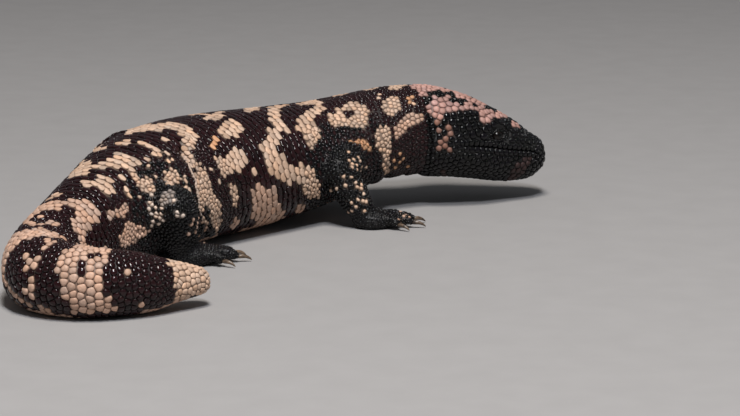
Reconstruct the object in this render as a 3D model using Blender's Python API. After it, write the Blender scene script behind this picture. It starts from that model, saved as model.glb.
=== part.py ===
"""A Gila monster as a still, life-size museum model, in the pose of a slow walk.

The pieces of the body are closed solids set face to face: head, neck, trunk and tail lengths, three
pieces to each leg, the eyes and the twenty claws. Tables are in millimetres and the scene in metres,
+Z up. The head looks towards +X and the animal's right side towards -Y. It rests on z = 0 on its
belly, tail and four feet.
"""

import math

import bmesh
import bpy
import numpy as np
from mathutils import Vector

# Units and clearances
MM = 0.001
GAP = 0.3
ORIGIN = (-33.3, -75.4)  # plan point of the tables that becomes the part's origin

# The spine from nape to tail tip: name, x, y, top of back, underside, half width
SPINE = [
    ("nape", 19.7, 10.5, 54.2, 12.5, 20.0),
    ("neck", 7.6, 7.0, 53.9, 12.5, 21.2),
    ("shoulder", -4.0, 2.0, 52.4, 9.6, 25.0),
    ("chest", -23.0, -8.0, 49.6, 5.4, 29.0),
    ("ribs", -44.0, -23.0, 49.4, 1.2, 32.5),
    ("belly", -64.0, -41.0, 50.4, -0.9, 33.5),
    ("loin", -82.0, -62.0, 50.8, -1.3, 32.5),
    ("hip", -95.6, -86.0, 49.1, -1.3, 29.0),
    ("vent", -107.4, -112.0, 43.5, -1.3, 22.6),
    ("tail_root", -117.8, -138.0, 36.8, -1.3, 18.1),
    ("bend_start", -126.0, -164.0, 31.0, -1.1, 15.8),
    ("bend", -124.6, -186.0, 29.0, -1.0, 14.8),
    ("bend_end", -108.0, -196.5, 27.2, -0.9, 13.7),
    ("tail", -88.0, -192.0, 24.0, -0.4, 12.1),
    ("tail_end", -76.0, -186.5, 19.9, 2.2, 8.9),
    ("tip", -66.6, -181.5, 15.8, 4.2, 6.0),
]
UPPER_POWER, LOWER_POWER = 2.08, 2.35  # roundness of a cross-section above and below its widest level
WIDEST_SHARE = 0.47  # height of the widest level, as a share of the height of the body
BODY_SIDES = 30
RING_STEP = 6.0
FOLD_STEP = 1.6  # rings stand this close where the skin folds
TAIL_END = [(1.9, 0.74), (3.0, 0.36)]  # past the tip: mm, and the share of the tip's size

# Skin folds across the sides and throat: mm behind the nape, half width, depth
FOLDS = [(0.0, 1.8, 1.1), (19.0, 2.2, 1.8), (27.5, 2.6, 1.5)]

# Lengths that the body is parted into: name, station where it ends, mm past that station
LENGTHS = [
    ("neck", "shoulder", -2.0),
    ("trunk_front", "ribs", -4.0),
    ("trunk_middle", "loin", 0.0),
    ("trunk_rear", "vent", 6.0),
    ("tail_root", "bend_start", -8.0),
    ("tail_bend_near", "bend", -4.0),
    ("tail_bend_far", "bend_end", 5.0),
    ("tail_back", "tail_end", -2.0),
    ("tail_tip", "tip", 0.0),
]

# The head, by mm behind the snout tip: top, widest level (the lip line), underside, half width
SNOUT = (78.4, 28.0)
HEAD_YAW = 16.0  # degrees that the head points away from +X, to its left
HEAD = [
    (0.0, 22.6, 18.2, 15.8, 3.0),
    (1.2, 24.0, 18.3, 14.6, 5.6),
    (3.6, 26.2, 18.6, 12.0, 8.3),
    (8.0, 30.1, 19.3, 9.0, 11.3),
    (14.0, 35.2, 20.4, 8.2, 13.8),
    (21.0, 39.8, 22.0, 8.2, 15.9),
    (28.0, 43.9, 24.0, 9.0, 17.9),
    (36.0, 48.2, 26.2, 10.4, 20.2),
    (44.0, 51.0, 28.0, 11.6, 21.6),
    (52.0, 53.1, 29.4, 12.2, 21.4),
    (61.0, 54.2, 30.8, 12.5, 20.0),
]
HEAD_STEP = 2.7
HEAD_TURNS = [0, 10, 20, 30, 40, 50, 60, 69, 77, 83, 87, 91, 95, 99, 105, 113, 123, 135, 150, 165]
NAPE_FOLD = (2.2, 1.1)  # the head draws in over this length before the nape, by this much

# Swellings and hollows of each side of the head: mm behind the snout, degrees from the crown, spans, height
FORMS = [
    (45.0, 52.0, 9.0, 16.0, 1.5),  # temple, over the jaw muscle
    (25.5, 47.0, 5.0, 9.0, 1.4),  # brow
    (26.2, 66.0, 4.0, 9.0, -1.4),  # hollow of the eye
    (33.0, 106.0, 9.0, 12.0, 1.6),  # venom gland, in the lower jaw
    (51.0, 95.0, 6.0, 14.0, 0.8),  # corner of the jaw
    (31.0, 81.0, 6.0, 7.0, -0.6),  # under the eye
    (13.0, 50.0, 7.0, 10.0, 0.5),  # edge of the snout
    (6.5, 60.0, 3.0, 14.0, 0.6),  # nostril
    (42.0, 0.0, 14.0, 10.0, -0.7),  # furrow of the crown
]
LIPS = [(86.0, 3.0, 0.5), (98.0, 3.2, 0.5)]  # degrees from the crown, width, height of the upper and lower lip

# Eyes, nostrils, ears and mouth
EYE_BACK, EYE_TURN, EYE_RADIUS, EYE_SINK = 26.2, 65.0, 3.1, 1.9
LID_RING, LID_WIRE, LID_STRETCH = 3.1, 0.85, 1.12
NOSTRIL_BACK, NOSTRIL_TURN, NOSTRIL_RADIUS, NOSTRIL_DEPTH = 6.4, 62.0, 0.85, 1.6
EAR_BACK, EAR_TURN, EAR_LENGTH, EAR_RADIUS = 57.0, 76.0, 8.0, 1.5
MOUTH_CORNER, MOUTH_DEPTH, MOUTH_HALF_HEIGHT = 44.0, 1.3, 0.33
LIP_DROP = 0.6  # the mouth line lies this far under the widest level

# Head plates: rows by mm behind the snout, plate pitch and radius, height, and the clear space round an eye
PLATE_ROWS = [16.0, 22.5, 29.0, 35.5, 42.0, 48.5, 55.0]
PLATE_PITCH, PLATE_RADIUS, PLATE_HEIGHT = 6.2, 2.5, 0.6
PLATE_LAST_TURN = 62.0
EYE_CLEAR = 6.6

# Legs: x, y, z and radius of the root, the bend and the ankle, and where the foot points from +X
LEGS = {
    "fore_right": dict(root=(-8.5, -14.0, 31.0, 11.0), bend=(-13.7, -39.5, 25.0, 8.2),
                       ankle=(-4.6, -41.5, 9.8, 6.5), heading=18.0, side=1),
    "fore_left": dict(root=(-19.5, 8.5, 30.0, 11.0), bend=(-46.0, 24.0, 22.0, 8.2),
                      ankle=(-36.5, 34.5, 9.8, 6.5), heading=40.0, side=-1),
    "hind_right": dict(root=(-93.0, -105.5, 21.5, 14.6), bend=(-78.0, -119.0, 25.5, 9.0),
                       ankle=(-77.0, -112.5, 10.4, 7.2), heading=30.0, side=1),
    "hind_left": dict(root=(-111.0, -98.0, 21.5, 14.0), bend=(-121.5, -77.0, 19.0, 9.0),
                      ankle=(-131.0, -85.0, 10.4, 7.2), heading=86.0, side=-1),
}
LIMB_NAMES = {"fore": ("upper_arm", "forearm", "forefoot"), "hind": ("thigh", "shank", "hindfoot")}
LIMB_SIDES = 16
SHIN_SHARE = 0.95  # the shin's radius at the bend, as a share of the limb's
UPPER_SWELL, SHIN_SWELL = 0.5, 0.6

# Feet: palm length, width and height; toe turns from inside to outside, toe reaches, toe radius, claw length
FEET = {
    "fore": dict(palm=(9.6, 8.4, 5.4), ahead=6.4, turns=(56, 27, 2, -24, -52),
                 reaches=(13.5, 17.6, 19.0, 17.6, 13.5), radius=2.45, claw=6.0),
    "hind": dict(palm=(10.6, 8.8, 5.8), ahead=6.0, turns=(50, 24, 2, -20, -56),
                 reaches=(13.6, 17.6, 19.4, 18.8, 14.2), radius=2.6, claw=6.0),
}
TOE_LINE = [(0.15, 3.4), (0.5, 4.7), (0.76, 4.0), (0.94, 2.7), (1.0, 2.2)]  # share of the reach, height
TOE_TAPER = (1.0, 1.0, 0.97, 0.86, 0.62)
TOE_SIDES = 8
CLAW_LINE = [(0.0, 0.1), (0.3, 0.35), (0.6, 0.1), (0.85, -0.65), (1.0, -1.5)]  # share of the length, rise
CLAW_RADII = (1.0, 1.05, 0.82, 0.5, 0.18)
CLAW_ROOT = 0.9  # how far a claw starts inside its toe
CLAW_SIDES = 6
CLAW_HEIGHT_SHARE = 1.1


def catmull_rom(rows, steps):
    """Points on a smooth curve through the rows, with this many steps between neighbours."""
    rows = np.array(rows, float)
    found = []
    for i in range(len(rows) - 1):
        a, b, c, d = (rows[min(max(i + k, 0), len(rows) - 1)] for k in (-1, 0, 1, 2))
        for t in np.arange(steps) / steps:
            bend = (2 * a - 5 * b + 4 * c - d) * t**2 + (3 * b - a - 3 * c + d) * t**3
            found.append(0.5 * (2 * b + (c - a) * t + bend))
    found.append(rows[-1])
    return np.array(found)


# The spine, read at any distance behind the nape
SPINE_STEPS = 12
SPINE_LINE = catmull_rom([row[1:] for row in SPINE], SPINE_STEPS)
SPINE_AT = np.concatenate([[0], np.cumsum(np.linalg.norm(np.diff(SPINE_LINE[:, :2], axis=0), axis=1))])
STATION = {row[0]: SPINE_AT[SPINE_STEPS * i] for i, row in enumerate(SPINE)}
LENGTH = SPINE_AT[-1]

HEAD_FORWARD = np.array([math.cos(math.radians(HEAD_YAW)), math.sin(math.radians(HEAD_YAW))])
HEAD_LINE = catmull_rom(HEAD, 8)
HEAD_END = HEAD[-1][0]


def spine(at):
    """x, y, top, underside and half width of the body at this distance behind the nape."""
    return np.array([np.interp(at, SPINE_AT, SPINE_LINE[:, k]) for k in range(5)])


def forward_at(at):
    """The plan direction towards the head, as a unit vector."""
    ahead, behind = spine(max(at - 1.5, 0))[:2], spine(min(at + 1.5, LENGTH))[:2]
    return (ahead - behind) / np.linalg.norm(ahead - behind)


def place(plan, forward, along, out):
    """A plan point moved forward, and out to the animal's right."""
    right = np.array([forward[1], -forward[0]])
    return plan + forward * along + right * out


def section(turn, half_width, top, widest, bottom):
    """Outward and height of a cross-section's outline at a turn in degrees from its top."""
    sine, cosine = math.sin(math.radians(turn)), math.cos(math.radians(turn))
    power = 2 / (UPPER_POWER if cosine > 0 else LOWER_POWER)
    out = math.copysign(abs(sine) ** power, sine) * half_width
    reach = top - widest if cosine > 0 else widest - bottom
    return out, widest + math.copysign(abs(cosine) ** power, cosine) * reach


def body_point(at, turn, grow=0.0):
    """A point of the body's surface, or one that lies outside it by grow; turn runs from 0 at the back."""
    x, y, top, bottom, half_width = spine(at)
    low = 0.5 - 0.5 * math.cos(math.radians(turn))
    fold = sum(depth * math.exp(-(((at - place_) / half) ** 2)) for place_, half, depth in FOLDS)
    grow -= fold * min(1, 0.15 + 1.4 * low)
    widest = bottom + (top - bottom) * WIDEST_SHARE
    out, height = section(turn, half_width + grow, top + grow, widest, bottom - grow)
    plan = place(np.array([x, y]), forward_at(at), 0, out)
    return np.array([plan[0], plan[1], max(height, 0.0)])


def head_profile(back):
    """Top, lip level, underside and half width at this distance behind the snout tip."""
    return [float(np.interp(back, HEAD_LINE[:, 0], HEAD_LINE[:, k])) for k in (1, 2, 3, 4)]


def head_point(back, turn, grow=0.0):
    """A point of the head's surface; turn runs from 0 at the crown over the right side to 180 at the chin."""
    top, lip, bottom, half_width = head_profile(back)
    side_turn = min(turn % 360, 360 - turn % 360)
    swell = sum(height * math.exp(-(((back - at) / span) ** 2) - ((side_turn - around) / wide) ** 2)
                for at, around, span, wide, height in FORMS)
    fade = min(1, max(0, (MOUTH_CORNER - back) / 6)) * min(1, back / 3)
    swell += fade * sum(height * math.exp(-(((side_turn - around) / wide) ** 2)) for around, wide, height in LIPS)
    swell -= NAPE_FOLD[1] * math.exp(-(((HEAD_END - back) / NAPE_FOLD[0]) ** 2)) * min(1, side_turn / 60)
    swell += grow
    out, height = section(turn, half_width + swell, top + swell, lip, bottom - swell)
    plan = place(np.array(SNOUT), HEAD_FORWARD, -back, out)
    return np.array([plan[0], plan[1], height])


def head_outward(back, turn):
    """The unit normal of the head there."""
    here = head_point(back, turn)
    along = head_point(back + 0.5, turn) - head_point(max(back - 0.5, 0), turn)
    around = head_point(back, turn + 2) - head_point(back, turn - 2)
    normal = np.cross(along, around)
    normal /= np.linalg.norm(normal)
    middle = place(np.array(SNOUT), HEAD_FORWARD, -back, 0)
    outward = here - np.array([middle[0], middle[1], head_profile(back)[1]])
    return normal if normal @ outward > 0 else -normal


def mesh_object(name, points, faces, material=None):
    """A mesh object from points in the tables' millimetres."""
    moved = (np.array(points, float) - [ORIGIN[0], ORIGIN[1], 0]) * MM
    mesh = bpy.data.meshes.new(name)
    mesh.from_pydata(moved.tolist(), [], faces)
    obj = bpy.data.objects.new(name, mesh)
    bpy.context.scene.collection.objects.link(obj)
    work = bmesh.new()
    work.from_mesh(mesh)
    bmesh.ops.recalc_face_normals(work, faces=work.faces)
    work.to_mesh(mesh)
    work.free()
    if material:
        mesh.materials.append(material)
    return obj


def loft(name, rings, material=None):
    """A closed solid through rings of equal count, with a flat face on each end ring."""
    count = len(rings[0])
    points = np.concatenate(rings)
    faces = []
    for i in range(len(rings) - 1):
        for j in range(count):
            k = (j + 1) % count
            faces.append((i * count + j, i * count + k, (i + 1) * count + k, (i + 1) * count + j))
    faces.append(tuple(range(count)))
    faces.append(tuple(range(len(points) - count, len(points))))
    return mesh_object(name, points, faces, material)


def turns(count):
    """Equal turns round a ring, in degrees."""
    return [360.0 * i / count for i in range(count)]


def body_ring(at, grow=0.0):
    return np.array([body_point(at, turn, grow) for turn in turns(BODY_SIDES)])


def body_places(start, end):
    """Ring places between two distances behind the nape, closer together at the folds."""
    places = [start]
    while end - places[-1] > 1e-6:
        near_fold = any(abs(places[-1] + FOLD_STEP - fold[0]) < 2.2 * fold[1] for fold in FOLDS)
        step = FOLD_STEP if near_fold else RING_STEP
        last = end - places[-1] < 1.4 * step
        places.append(end if last else places[-1] + step)
    return places


def body_length(name, start, end, material, grow=0.0):
    """One length of neck, trunk or tail, with round ends only at the tail's tip."""
    rings = [body_ring(at, grow) for at in body_places(start, end)]
    if end == LENGTH:
        middle, back = rings[-1].mean(0), -forward_at(LENGTH)
        for past, share in TAIL_END:
            rings.append(middle + (body_ring(end) - middle) * share + np.array([back[0], back[1], 0]) * past)
    return loft(name, rings, material)


def head_solid(material):
    """The plain head, from the nose to the nape."""
    backs = [row[0] for row in HEAD[:3]] + list(np.arange(6.0, HEAD_END - 2, HEAD_STEP)) + [HEAD_END - 1.6, HEAD_END]
    all_turns = HEAD_TURNS + [180] + [360 - turn for turn in HEAD_TURNS[:0:-1]]
    rings = [np.array([head_point(back, turn) for turn in all_turns]) for back in backs]
    first = rings[0]
    nose = first.mean(0) + (first - first.mean(0)) * 0.45 + np.append(HEAD_FORWARD, 0) * 0.5
    return loft("head", [nose] + rings, material)


def ball(name, centre, radii, axis, material=None, segments=14, rings=8):
    """An ellipsoid whose third radius lies along axis."""
    turned = Vector(axis).to_track_quat("Z", "Y").to_matrix()
    local = []
    for i in range(1, rings):
        tilt = math.pi * i / rings
        for turn in np.radians(turns(segments)):
            local.append((math.sin(tilt) * math.cos(turn), math.sin(tilt) * math.sin(turn), math.cos(tilt)))
    local += [(0, 0, 1), (0, 0, -1)]
    scaled = [Vector((x * radii[0], y * radii[1], z * radii[2])) for x, y, z in local]
    points = [np.array(centre) + np.array(turned @ point) for point in scaled]
    faces = []
    for j in range(segments):
        k = (j + 1) % segments
        for i in range(rings - 2):
            faces.append((i * segments + j, i * segments + k, (i + 1) * segments + k, (i + 1) * segments + j))
        faces.append((len(points) - 2, j, k))
        faces.append((len(points) - 1, (rings - 2) * segments + j, (rings - 2) * segments + k))
    return mesh_object(name, points, faces, material)


def lid_ring(centre, axis, segments=18, sides=6):
    """The lids of an eye: a ring round axis, stretched along the head."""
    turned = Vector(axis).to_track_quat("Z", "Y").to_matrix()
    level = turned.inverted() @ Vector((HEAD_FORWARD[0], HEAD_FORWARD[1], 0))
    lie = math.atan2(level.y, level.x)
    points, faces = [], []
    for turn in np.radians(turns(segments)):
        for tilt in np.radians(turns(sides)):
            reach = LID_RING + LID_WIRE * math.cos(tilt)
            a, b = reach * math.cos(turn) * LID_STRETCH, reach * math.sin(turn) / LID_STRETCH
            along, across = a * math.cos(lie) - b * math.sin(lie), a * math.sin(lie) + b * math.cos(lie)
            points.append(np.array(centre) + np.array(turned @ Vector((along, across, LID_WIRE * math.sin(tilt)))))
    for i in range(segments):
        n = (i + 1) % segments
        for j in range(sides):
            m = (j + 1) % sides
            faces.append((i * sides + j, n * sides + j, n * sides + m, i * sides + m))
    return mesh_object("lids", points, faces)


def mouth_cutter():
    """A thin curved wall along the mouth line, from one corner round the snout to the other."""
    backs = list(np.linspace(MOUTH_CORNER, 3.6, 15)) + [2.0, 0.8]
    right = [(-back, head_profile(back)[3], head_profile(back)[1] - LIP_DROP) for back in backs]
    right.append((0.4, 2.2, head_profile(0)[1] - LIP_DROP))
    line = np.array(right + [(along, -out, level) for along, out, level in right[::-1]])
    step = np.gradient(line[:, :2], axis=0)
    push = np.stack([-step[:, 1], step[:, 0]], 1) / np.linalg.norm(step, axis=1)[:, None]
    rings = []
    for (along, out, level), (ahead, aside) in zip(line, push):
        corners = []
        for depth, lift in ((-MOUTH_DEPTH, 1), (3.0, 1), (3.0, -1), (-MOUTH_DEPTH, -1)):
            plan = place(np.array(SNOUT), HEAD_FORWARD, along + ahead * depth, out + aside * depth)
            corners.append([plan[0], plan[1], level + lift * MOUTH_HALF_HEIGHT])
        rings.append(np.array(corners))
    return loft("mouth_cutter", rings)


def plates(eye_places):
    """Low domes in staggered rows over the crown and temples, clear of the eyes."""
    found = []
    for number, back in enumerate(PLATE_ROWS):
        top, lip, _, half_width = head_profile(back)
        pitch_turn = math.degrees(PLATE_PITCH / (0.5 * (top - lip + half_width)))
        turn = pitch_turn * (0.5 if number % 2 else 0)
        while turn < PLATE_LAST_TURN:
            for side in (1, -1) if turn else (1,):
                point = head_point(back, turn * side)
                if min(np.linalg.norm(point - eye) for eye in eye_places) > EYE_CLEAR:
                    outward = head_outward(back, turn * side)
                    radii = (PLATE_RADIUS, PLATE_RADIUS, 2 * PLATE_HEIGHT)
                    found.append(ball("plate", point - outward * PLATE_HEIGHT, radii, outward, None, 7, 4))
            turn += pitch_turn
    return found


def capsule(name, start, end, first, last, swell, grow=0.0, material=None):
    """A tapered limb piece with round ends; swell fattens its middle."""
    start, end = np.array(start, float), np.array(end, float)
    length = np.linalg.norm(end - start)
    turned = Vector((end - start) / length).to_track_quat("Z", "Y").to_matrix()
    ends = [(math.cos(math.radians(tilt)), math.sin(math.radians(tilt))) for tilt in (12, 36, 62)]
    outline = [(-(first + grow) * cosine, (first + grow) * sine) for cosine, sine in ends]
    for share in (0, 0.25, 0.5, 0.75, 1):
        radius = first + (last - first) * share + swell * math.sin(math.pi * share)
        outline.append((length * share, radius + grow))
    outline += [(length + (last + grow) * cosine, (last + grow) * sine) for cosine, sine in ends[::-1]]
    rings = []
    for along, radius in outline:
        local = [Vector((radius * math.cos(t), radius * math.sin(t), along)) for t in np.radians(turns(LIMB_SIDES))]
        rings.append(np.array([start + np.array(turned @ point) for point in local]))
    return loft(name, rings, material)


def tube(name, line, radii, sides, material=None, height_share=1.0):
    """A solid along a bent line, a ring to each point, with flat ends."""
    line = np.array(line, float)
    rings = []
    for point, direction, radius in zip(line, np.gradient(line, axis=0), radii):
        across = np.cross(direction, (0, 0, 1))
        across /= np.linalg.norm(across)
        upward = np.cross(across, direction / np.linalg.norm(direction))
        rings.append(np.array([point + radius * (math.cos(t) * across + height_share * math.sin(t) * upward)
                               for t in np.radians(turns(sides))]))
    return loft(name, rings, material)


def keep_largest(obj):
    """Leaves only the closed surface of a mesh that spreads furthest in plan."""
    work = bmesh.new()
    work.from_mesh(obj.data)
    left, islands = set(work.verts), []
    while left:
        edge, island = [left.pop()], []
        while edge:
            vert = edge.pop()
            island.append(vert)
            for link in vert.link_edges:
                other = link.other_vert(vert)
                if other in left:
                    left.remove(other)
                    edge.append(other)
        spread = [max(vert.co[k] for vert in island) - min(vert.co[k] for vert in island) for k in (0, 1)]
        islands.append((spread[0] * spread[1], island))
    islands.sort(key=lambda entry: entry[0])
    for _, island in islands[:-1]:
        bmesh.ops.delete(work, geom=island, context="VERTS")
    work.to_mesh(obj.data)
    work.free()


def combine(obj, others, operation):
    """Joins or cuts obj by closed mesh objects, applied, and removes them."""
    group = bpy.data.collections.new("operands")
    bpy.context.scene.collection.children.link(group)
    for other in others:
        bpy.context.scene.collection.objects.unlink(other)
        group.objects.link(other)
    modifier = obj.modifiers.new("Shape", "BOOLEAN")
    modifier.operation = operation
    modifier.solver = "EXACT"
    modifier.operand_type = "COLLECTION"
    modifier.collection = group
    bpy.context.view_layer.update()
    shaped = bpy.data.meshes.new_from_object(obj.evaluated_get(bpy.context.evaluated_depsgraph_get()))
    obj.modifiers.clear()
    obj.data = shaped
    for other in others:
        bpy.data.objects.remove(other)
    bpy.data.collections.remove(group)
    keep_largest(obj)


def floor_cutter():
    """A block under the floor, which leaves a flat sole where a foot would reach lower."""
    x, y = ORIGIN
    points = [(x + a * 300, y + b * 300, z) for z in (-60.0, 0.0) for a, b in ((-1, -1), (1, -1), (1, 1), (-1, 1))]
    faces = [(3, 2, 1, 0), (4, 5, 6, 7), (0, 1, 5, 4), (1, 2, 6, 5), (2, 3, 7, 6), (3, 0, 4, 7)]
    return mesh_object("floor_cutter", points, faces)


def body_cutter():
    """The body from nape to tail root, larger all round by the gap, which cuts what grows from it."""
    return body_length("body_cutter", 0.0, STATION["tail_root"], None, GAP)


def paint(name, colour, roughness):
    material = bpy.data.materials.new(name)
    material.use_nodes = True
    shader = material.node_tree.nodes["Principled BSDF"]
    shader.inputs["Base Color"].default_value = (*colour, 1)
    shader.inputs["Roughness"].default_value = roughness
    shader.inputs["Metallic"].default_value = 0.0
    material.diffuse_color = (*colour, 1)
    return material


def build_head(skin, eye):
    """The head with its plates, lids, mouth line, nostrils and ear openings, and the two eyes."""
    head = head_solid(skin)
    eye_places = [head_point(EYE_BACK, EYE_TURN * side) for side in (1, -1)]
    raised, cutters = plates(eye_places), [mouth_cutter()]
    for side, word in ((1, "right"), (-1, "left")):
        outward = head_outward(EYE_BACK, EYE_TURN * side)
        surface = head_point(EYE_BACK, EYE_TURN * side)
        middle = surface - outward * EYE_SINK
        raised.append(lid_ring(surface + outward * 0.15, outward))
        cutters.append(ball("socket", middle, [EYE_RADIUS + GAP] * 3, outward))
        ball("eye_" + word, middle, [EYE_RADIUS] * 3, outward, eye)
        outward = head_outward(NOSTRIL_BACK, NOSTRIL_TURN * side)
        surface = head_point(NOSTRIL_BACK, NOSTRIL_TURN * side)
        radii = (NOSTRIL_RADIUS, NOSTRIL_RADIUS, NOSTRIL_DEPTH)
        cutters.append(ball("nostril", surface, radii, outward, None, 10, 6))
        outward = head_outward(EAR_BACK, EAR_TURN * side)
        surface = head_point(EAR_BACK, EAR_TURN * side)
        cutters.append(ball("ear", surface, (EAR_RADIUS, EAR_LENGTH / 2, EAR_RADIUS), outward, None, 12, 8))
    combine(head, raised, "UNION")
    combine(head, cutters, "DIFFERENCE")


def build_foot(kind, word, leg, skin, horn, shin):
    """A foot: palm and five toes in one solid, and a claw in each toe."""
    form = FEET[kind]
    heading = math.radians(leg["heading"])
    ahead = np.array([math.cos(heading), math.sin(heading), 0])
    centre = np.array(leg["ankle"][:3]) * [1, 1, 0] + ahead * form["ahead"]
    palm_length, palm_width, palm_height = form["palm"]
    raised = centre + [0, 0, palm_height * 0.62]
    foot = ball(f"{LIMB_NAMES[kind][2]}_{word}", raised, (palm_width, palm_height, palm_length), ahead, skin, 16, 9)
    toes, sockets, claws = [], [], []
    for number, (turn, reach) in enumerate(zip(form["turns"], form["reaches"]), 1):
        angle = heading + math.radians(turn) * leg["side"]
        way = np.array([math.cos(angle), math.sin(angle), 0])
        line = [centre + way * share * reach + [0, 0, height] for share, height in TOE_LINE]
        toes.append(tube("toe", line, [form["radius"] * share for share in TOE_TAPER], TOE_SIDES))
        arc = [line[-1] + way * (form["claw"] * share - CLAW_ROOT) + [0, 0, rise] for share, rise in CLAW_LINE]
        claws.append((f"claw_{kind}_{word}_{number}", arc))
        wider = [radius + GAP for radius in CLAW_RADII]
        sockets.append(tube("socket", [arc[0] - way * GAP] + arc[1:], wider, CLAW_SIDES, None, CLAW_HEIGHT_SHARE))
    combine(foot, toes, "UNION")
    combine(foot, [floor_cutter(), body_cutter(), shin] + sockets, "DIFFERENCE")
    for name, arc in claws:
        tube(name, arc, CLAW_RADII, CLAW_SIDES, horn, CLAW_HEIGHT_SHARE)


def build_leg(name, leg, skin, horn):
    """Upper and lower limb and foot; each is cut back by the gap from what it meets."""
    kind, word = name.split("_")
    upper_name, lower_name, _ = LIMB_NAMES[kind]
    root, bend, ankle = leg["root"], leg["bend"], leg["ankle"]
    upper = (root[:3], bend[:3], root[3], bend[3], UPPER_SWELL)
    lower = (bend[:3], ankle[:3], bend[3] * SHIN_SHARE, ankle[3], SHIN_SWELL)
    limb = capsule(f"{upper_name}_{word}", *upper, 0.0, skin)
    combine(limb, [body_cutter()], "DIFFERENCE")
    shin = capsule(f"{lower_name}_{word}", *lower, 0.0, skin)
    combine(shin, [body_cutter(), capsule("upper_cutter", *upper, GAP)], "DIFFERENCE")
    build_foot(kind, word, leg, skin, horn, capsule("shin_cutter", *lower, GAP))


def main():
    for obj in list(bpy.data.objects):
        bpy.data.objects.remove(obj)
    skin = paint("beaded_skin", (0.62, 0.42, 0.28), 0.55)
    dark = paint("dark_beaded_skin", (0.03, 0.026, 0.028), 0.5)
    eye = paint("eye", (0.012, 0.009, 0.008), 0.12)
    horn = paint("claw_horn", (0.16, 0.12, 0.09), 0.4)
    build_head(dark, eye)
    start = 0.0
    for name, station, past in LENGTHS:
        end = STATION[station] + past
        body_length(name, start, end, skin)
        start = end + GAP
    for name, leg in LEGS.items():
        build_leg(name, leg, dark, horn)
    for obj in bpy.context.scene.collection.all_objects:
        obj.data.shade_smooth()
        obj.data.set_sharp_from_angle(angle=math.radians(40))


main()
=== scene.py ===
# %% [markdown]
# # A Gila monster, life size
# This script dresses the plain solids of a Gila monster as a museum would dress its model. The animal is
# a stout lizard whose whole back is set with beads of horn over bone, pink-buff and black in bold
# blotches. The plain solids give the size, the pose and the outline. Here they get one seamless skin,
# some eleven thousand beads, eyes, claws, and their finish.

# %% Load the solids
import math

import bpy
import numpy as np
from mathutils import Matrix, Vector, kdtree
from mathutils.bvhtree import BVHTree


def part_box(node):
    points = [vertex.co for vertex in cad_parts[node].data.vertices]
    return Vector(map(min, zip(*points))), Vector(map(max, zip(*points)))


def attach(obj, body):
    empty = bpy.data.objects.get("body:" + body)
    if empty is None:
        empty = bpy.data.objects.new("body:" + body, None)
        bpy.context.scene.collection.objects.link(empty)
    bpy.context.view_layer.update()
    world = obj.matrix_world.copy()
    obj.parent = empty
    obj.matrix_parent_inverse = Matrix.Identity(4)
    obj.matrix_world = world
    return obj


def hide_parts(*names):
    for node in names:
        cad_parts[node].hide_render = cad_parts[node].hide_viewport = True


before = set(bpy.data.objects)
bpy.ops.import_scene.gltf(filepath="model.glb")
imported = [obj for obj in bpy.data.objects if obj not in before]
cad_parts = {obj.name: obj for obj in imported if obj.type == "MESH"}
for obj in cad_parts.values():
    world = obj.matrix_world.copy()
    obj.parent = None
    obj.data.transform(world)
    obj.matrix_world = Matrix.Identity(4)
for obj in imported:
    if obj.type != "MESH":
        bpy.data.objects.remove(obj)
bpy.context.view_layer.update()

# %% [markdown]
# ## Units, colours and nodes
# Tables are in millimetres and the scene is in metres. The tables were drawn about a point beside the
# animal, so PLAN_ORIGIN moves them to the middle of its bounding box. Colours are picked as hex values,
# as a painter reads them off a swatch, and one function turns them into the linear light of a shader.
# The other helpers add a shader node or an object, or pick the object to work on.

# %% Units, colours and nodes
MM = 0.001
WELD = 0.000001  # corners nearer than this, in metres, become one
PLAN_ORIGIN = np.array([-33.3, -75.4])


def linear(swatch):
    """The linear RGBA of a hex swatch."""
    parts = [int(swatch[i:i + 2], 16) / 255 for i in (1, 3, 5)]
    return tuple(c / 12.92 if c <= 0.04045 else ((c + 0.055) / 1.055) ** 2.4 for c in parts) + (1.0,)


def add_node(tree, kind, values=None, links=None, **options):
    """Adds one shader node, with its options, input values and incoming links."""
    node = tree.nodes.new(kind)
    for name, value in options.items():
        setattr(node, name, value)
    for name, value in (values or {}).items():
        node.inputs[name].default_value = value
    for name, source in (links or {}).items():
        tree.links.new(source, node.inputs[name])
    return node


def add_object(name, data):
    obj = bpy.data.objects.new(name, data)
    bpy.context.scene.collection.objects.link(obj)
    return obj


def deselect():
    for obj in list(bpy.context.selected_objects):
        obj.select_set(False)


def make_active(obj):
    deselect()
    obj.select_set(True)
    bpy.context.view_layer.objects.active = obj


print("pale bead in linear light:", [round(c, 3) for c in linear("#CAAB93")])

# %% [markdown]
# ## The camera comes first
# The picture was taken from low down, about 12 degrees above the ground, with a long lens. The markings
# are read from the photograph later on, so the same numbers that place the camera also tell where a
# point of the body falls in the picture. One function does that sum for both.

# %% Camera
IMAGE = (740, 416)
LENS_PIXELS = 2925.0
CAMERA_RANGE, CAMERA_TILT = 1300.0, math.radians(12.0)
LOOK_AT = np.append(-PLAN_ORIGIN, 0.0)  # the point that the tables were drawn about
CAMERA_AT = LOOK_AT + CAMERA_RANGE * np.array([0, -math.cos(CAMERA_TILT), math.sin(CAMERA_TILT)])
SIGHT = (LOOK_AT - CAMERA_AT) / CAMERA_RANGE
PICTURE_UP = np.array([0, math.sin(CAMERA_TILT), math.cos(CAMERA_TILT)])


def picture_place(points):
    """Where points in millimetres fall in the photograph, in pixels."""
    ray = np.asarray(points, float) - CAMERA_AT
    depth = ray @ SIGHT
    across, up = ray[..., 0] / depth, (ray @ PICTURE_UP) / depth
    return np.stack([IMAGE[0] / 2 + LENS_PIXELS * across, IMAGE[1] / 2 - LENS_PIXELS * up], -1)


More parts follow.
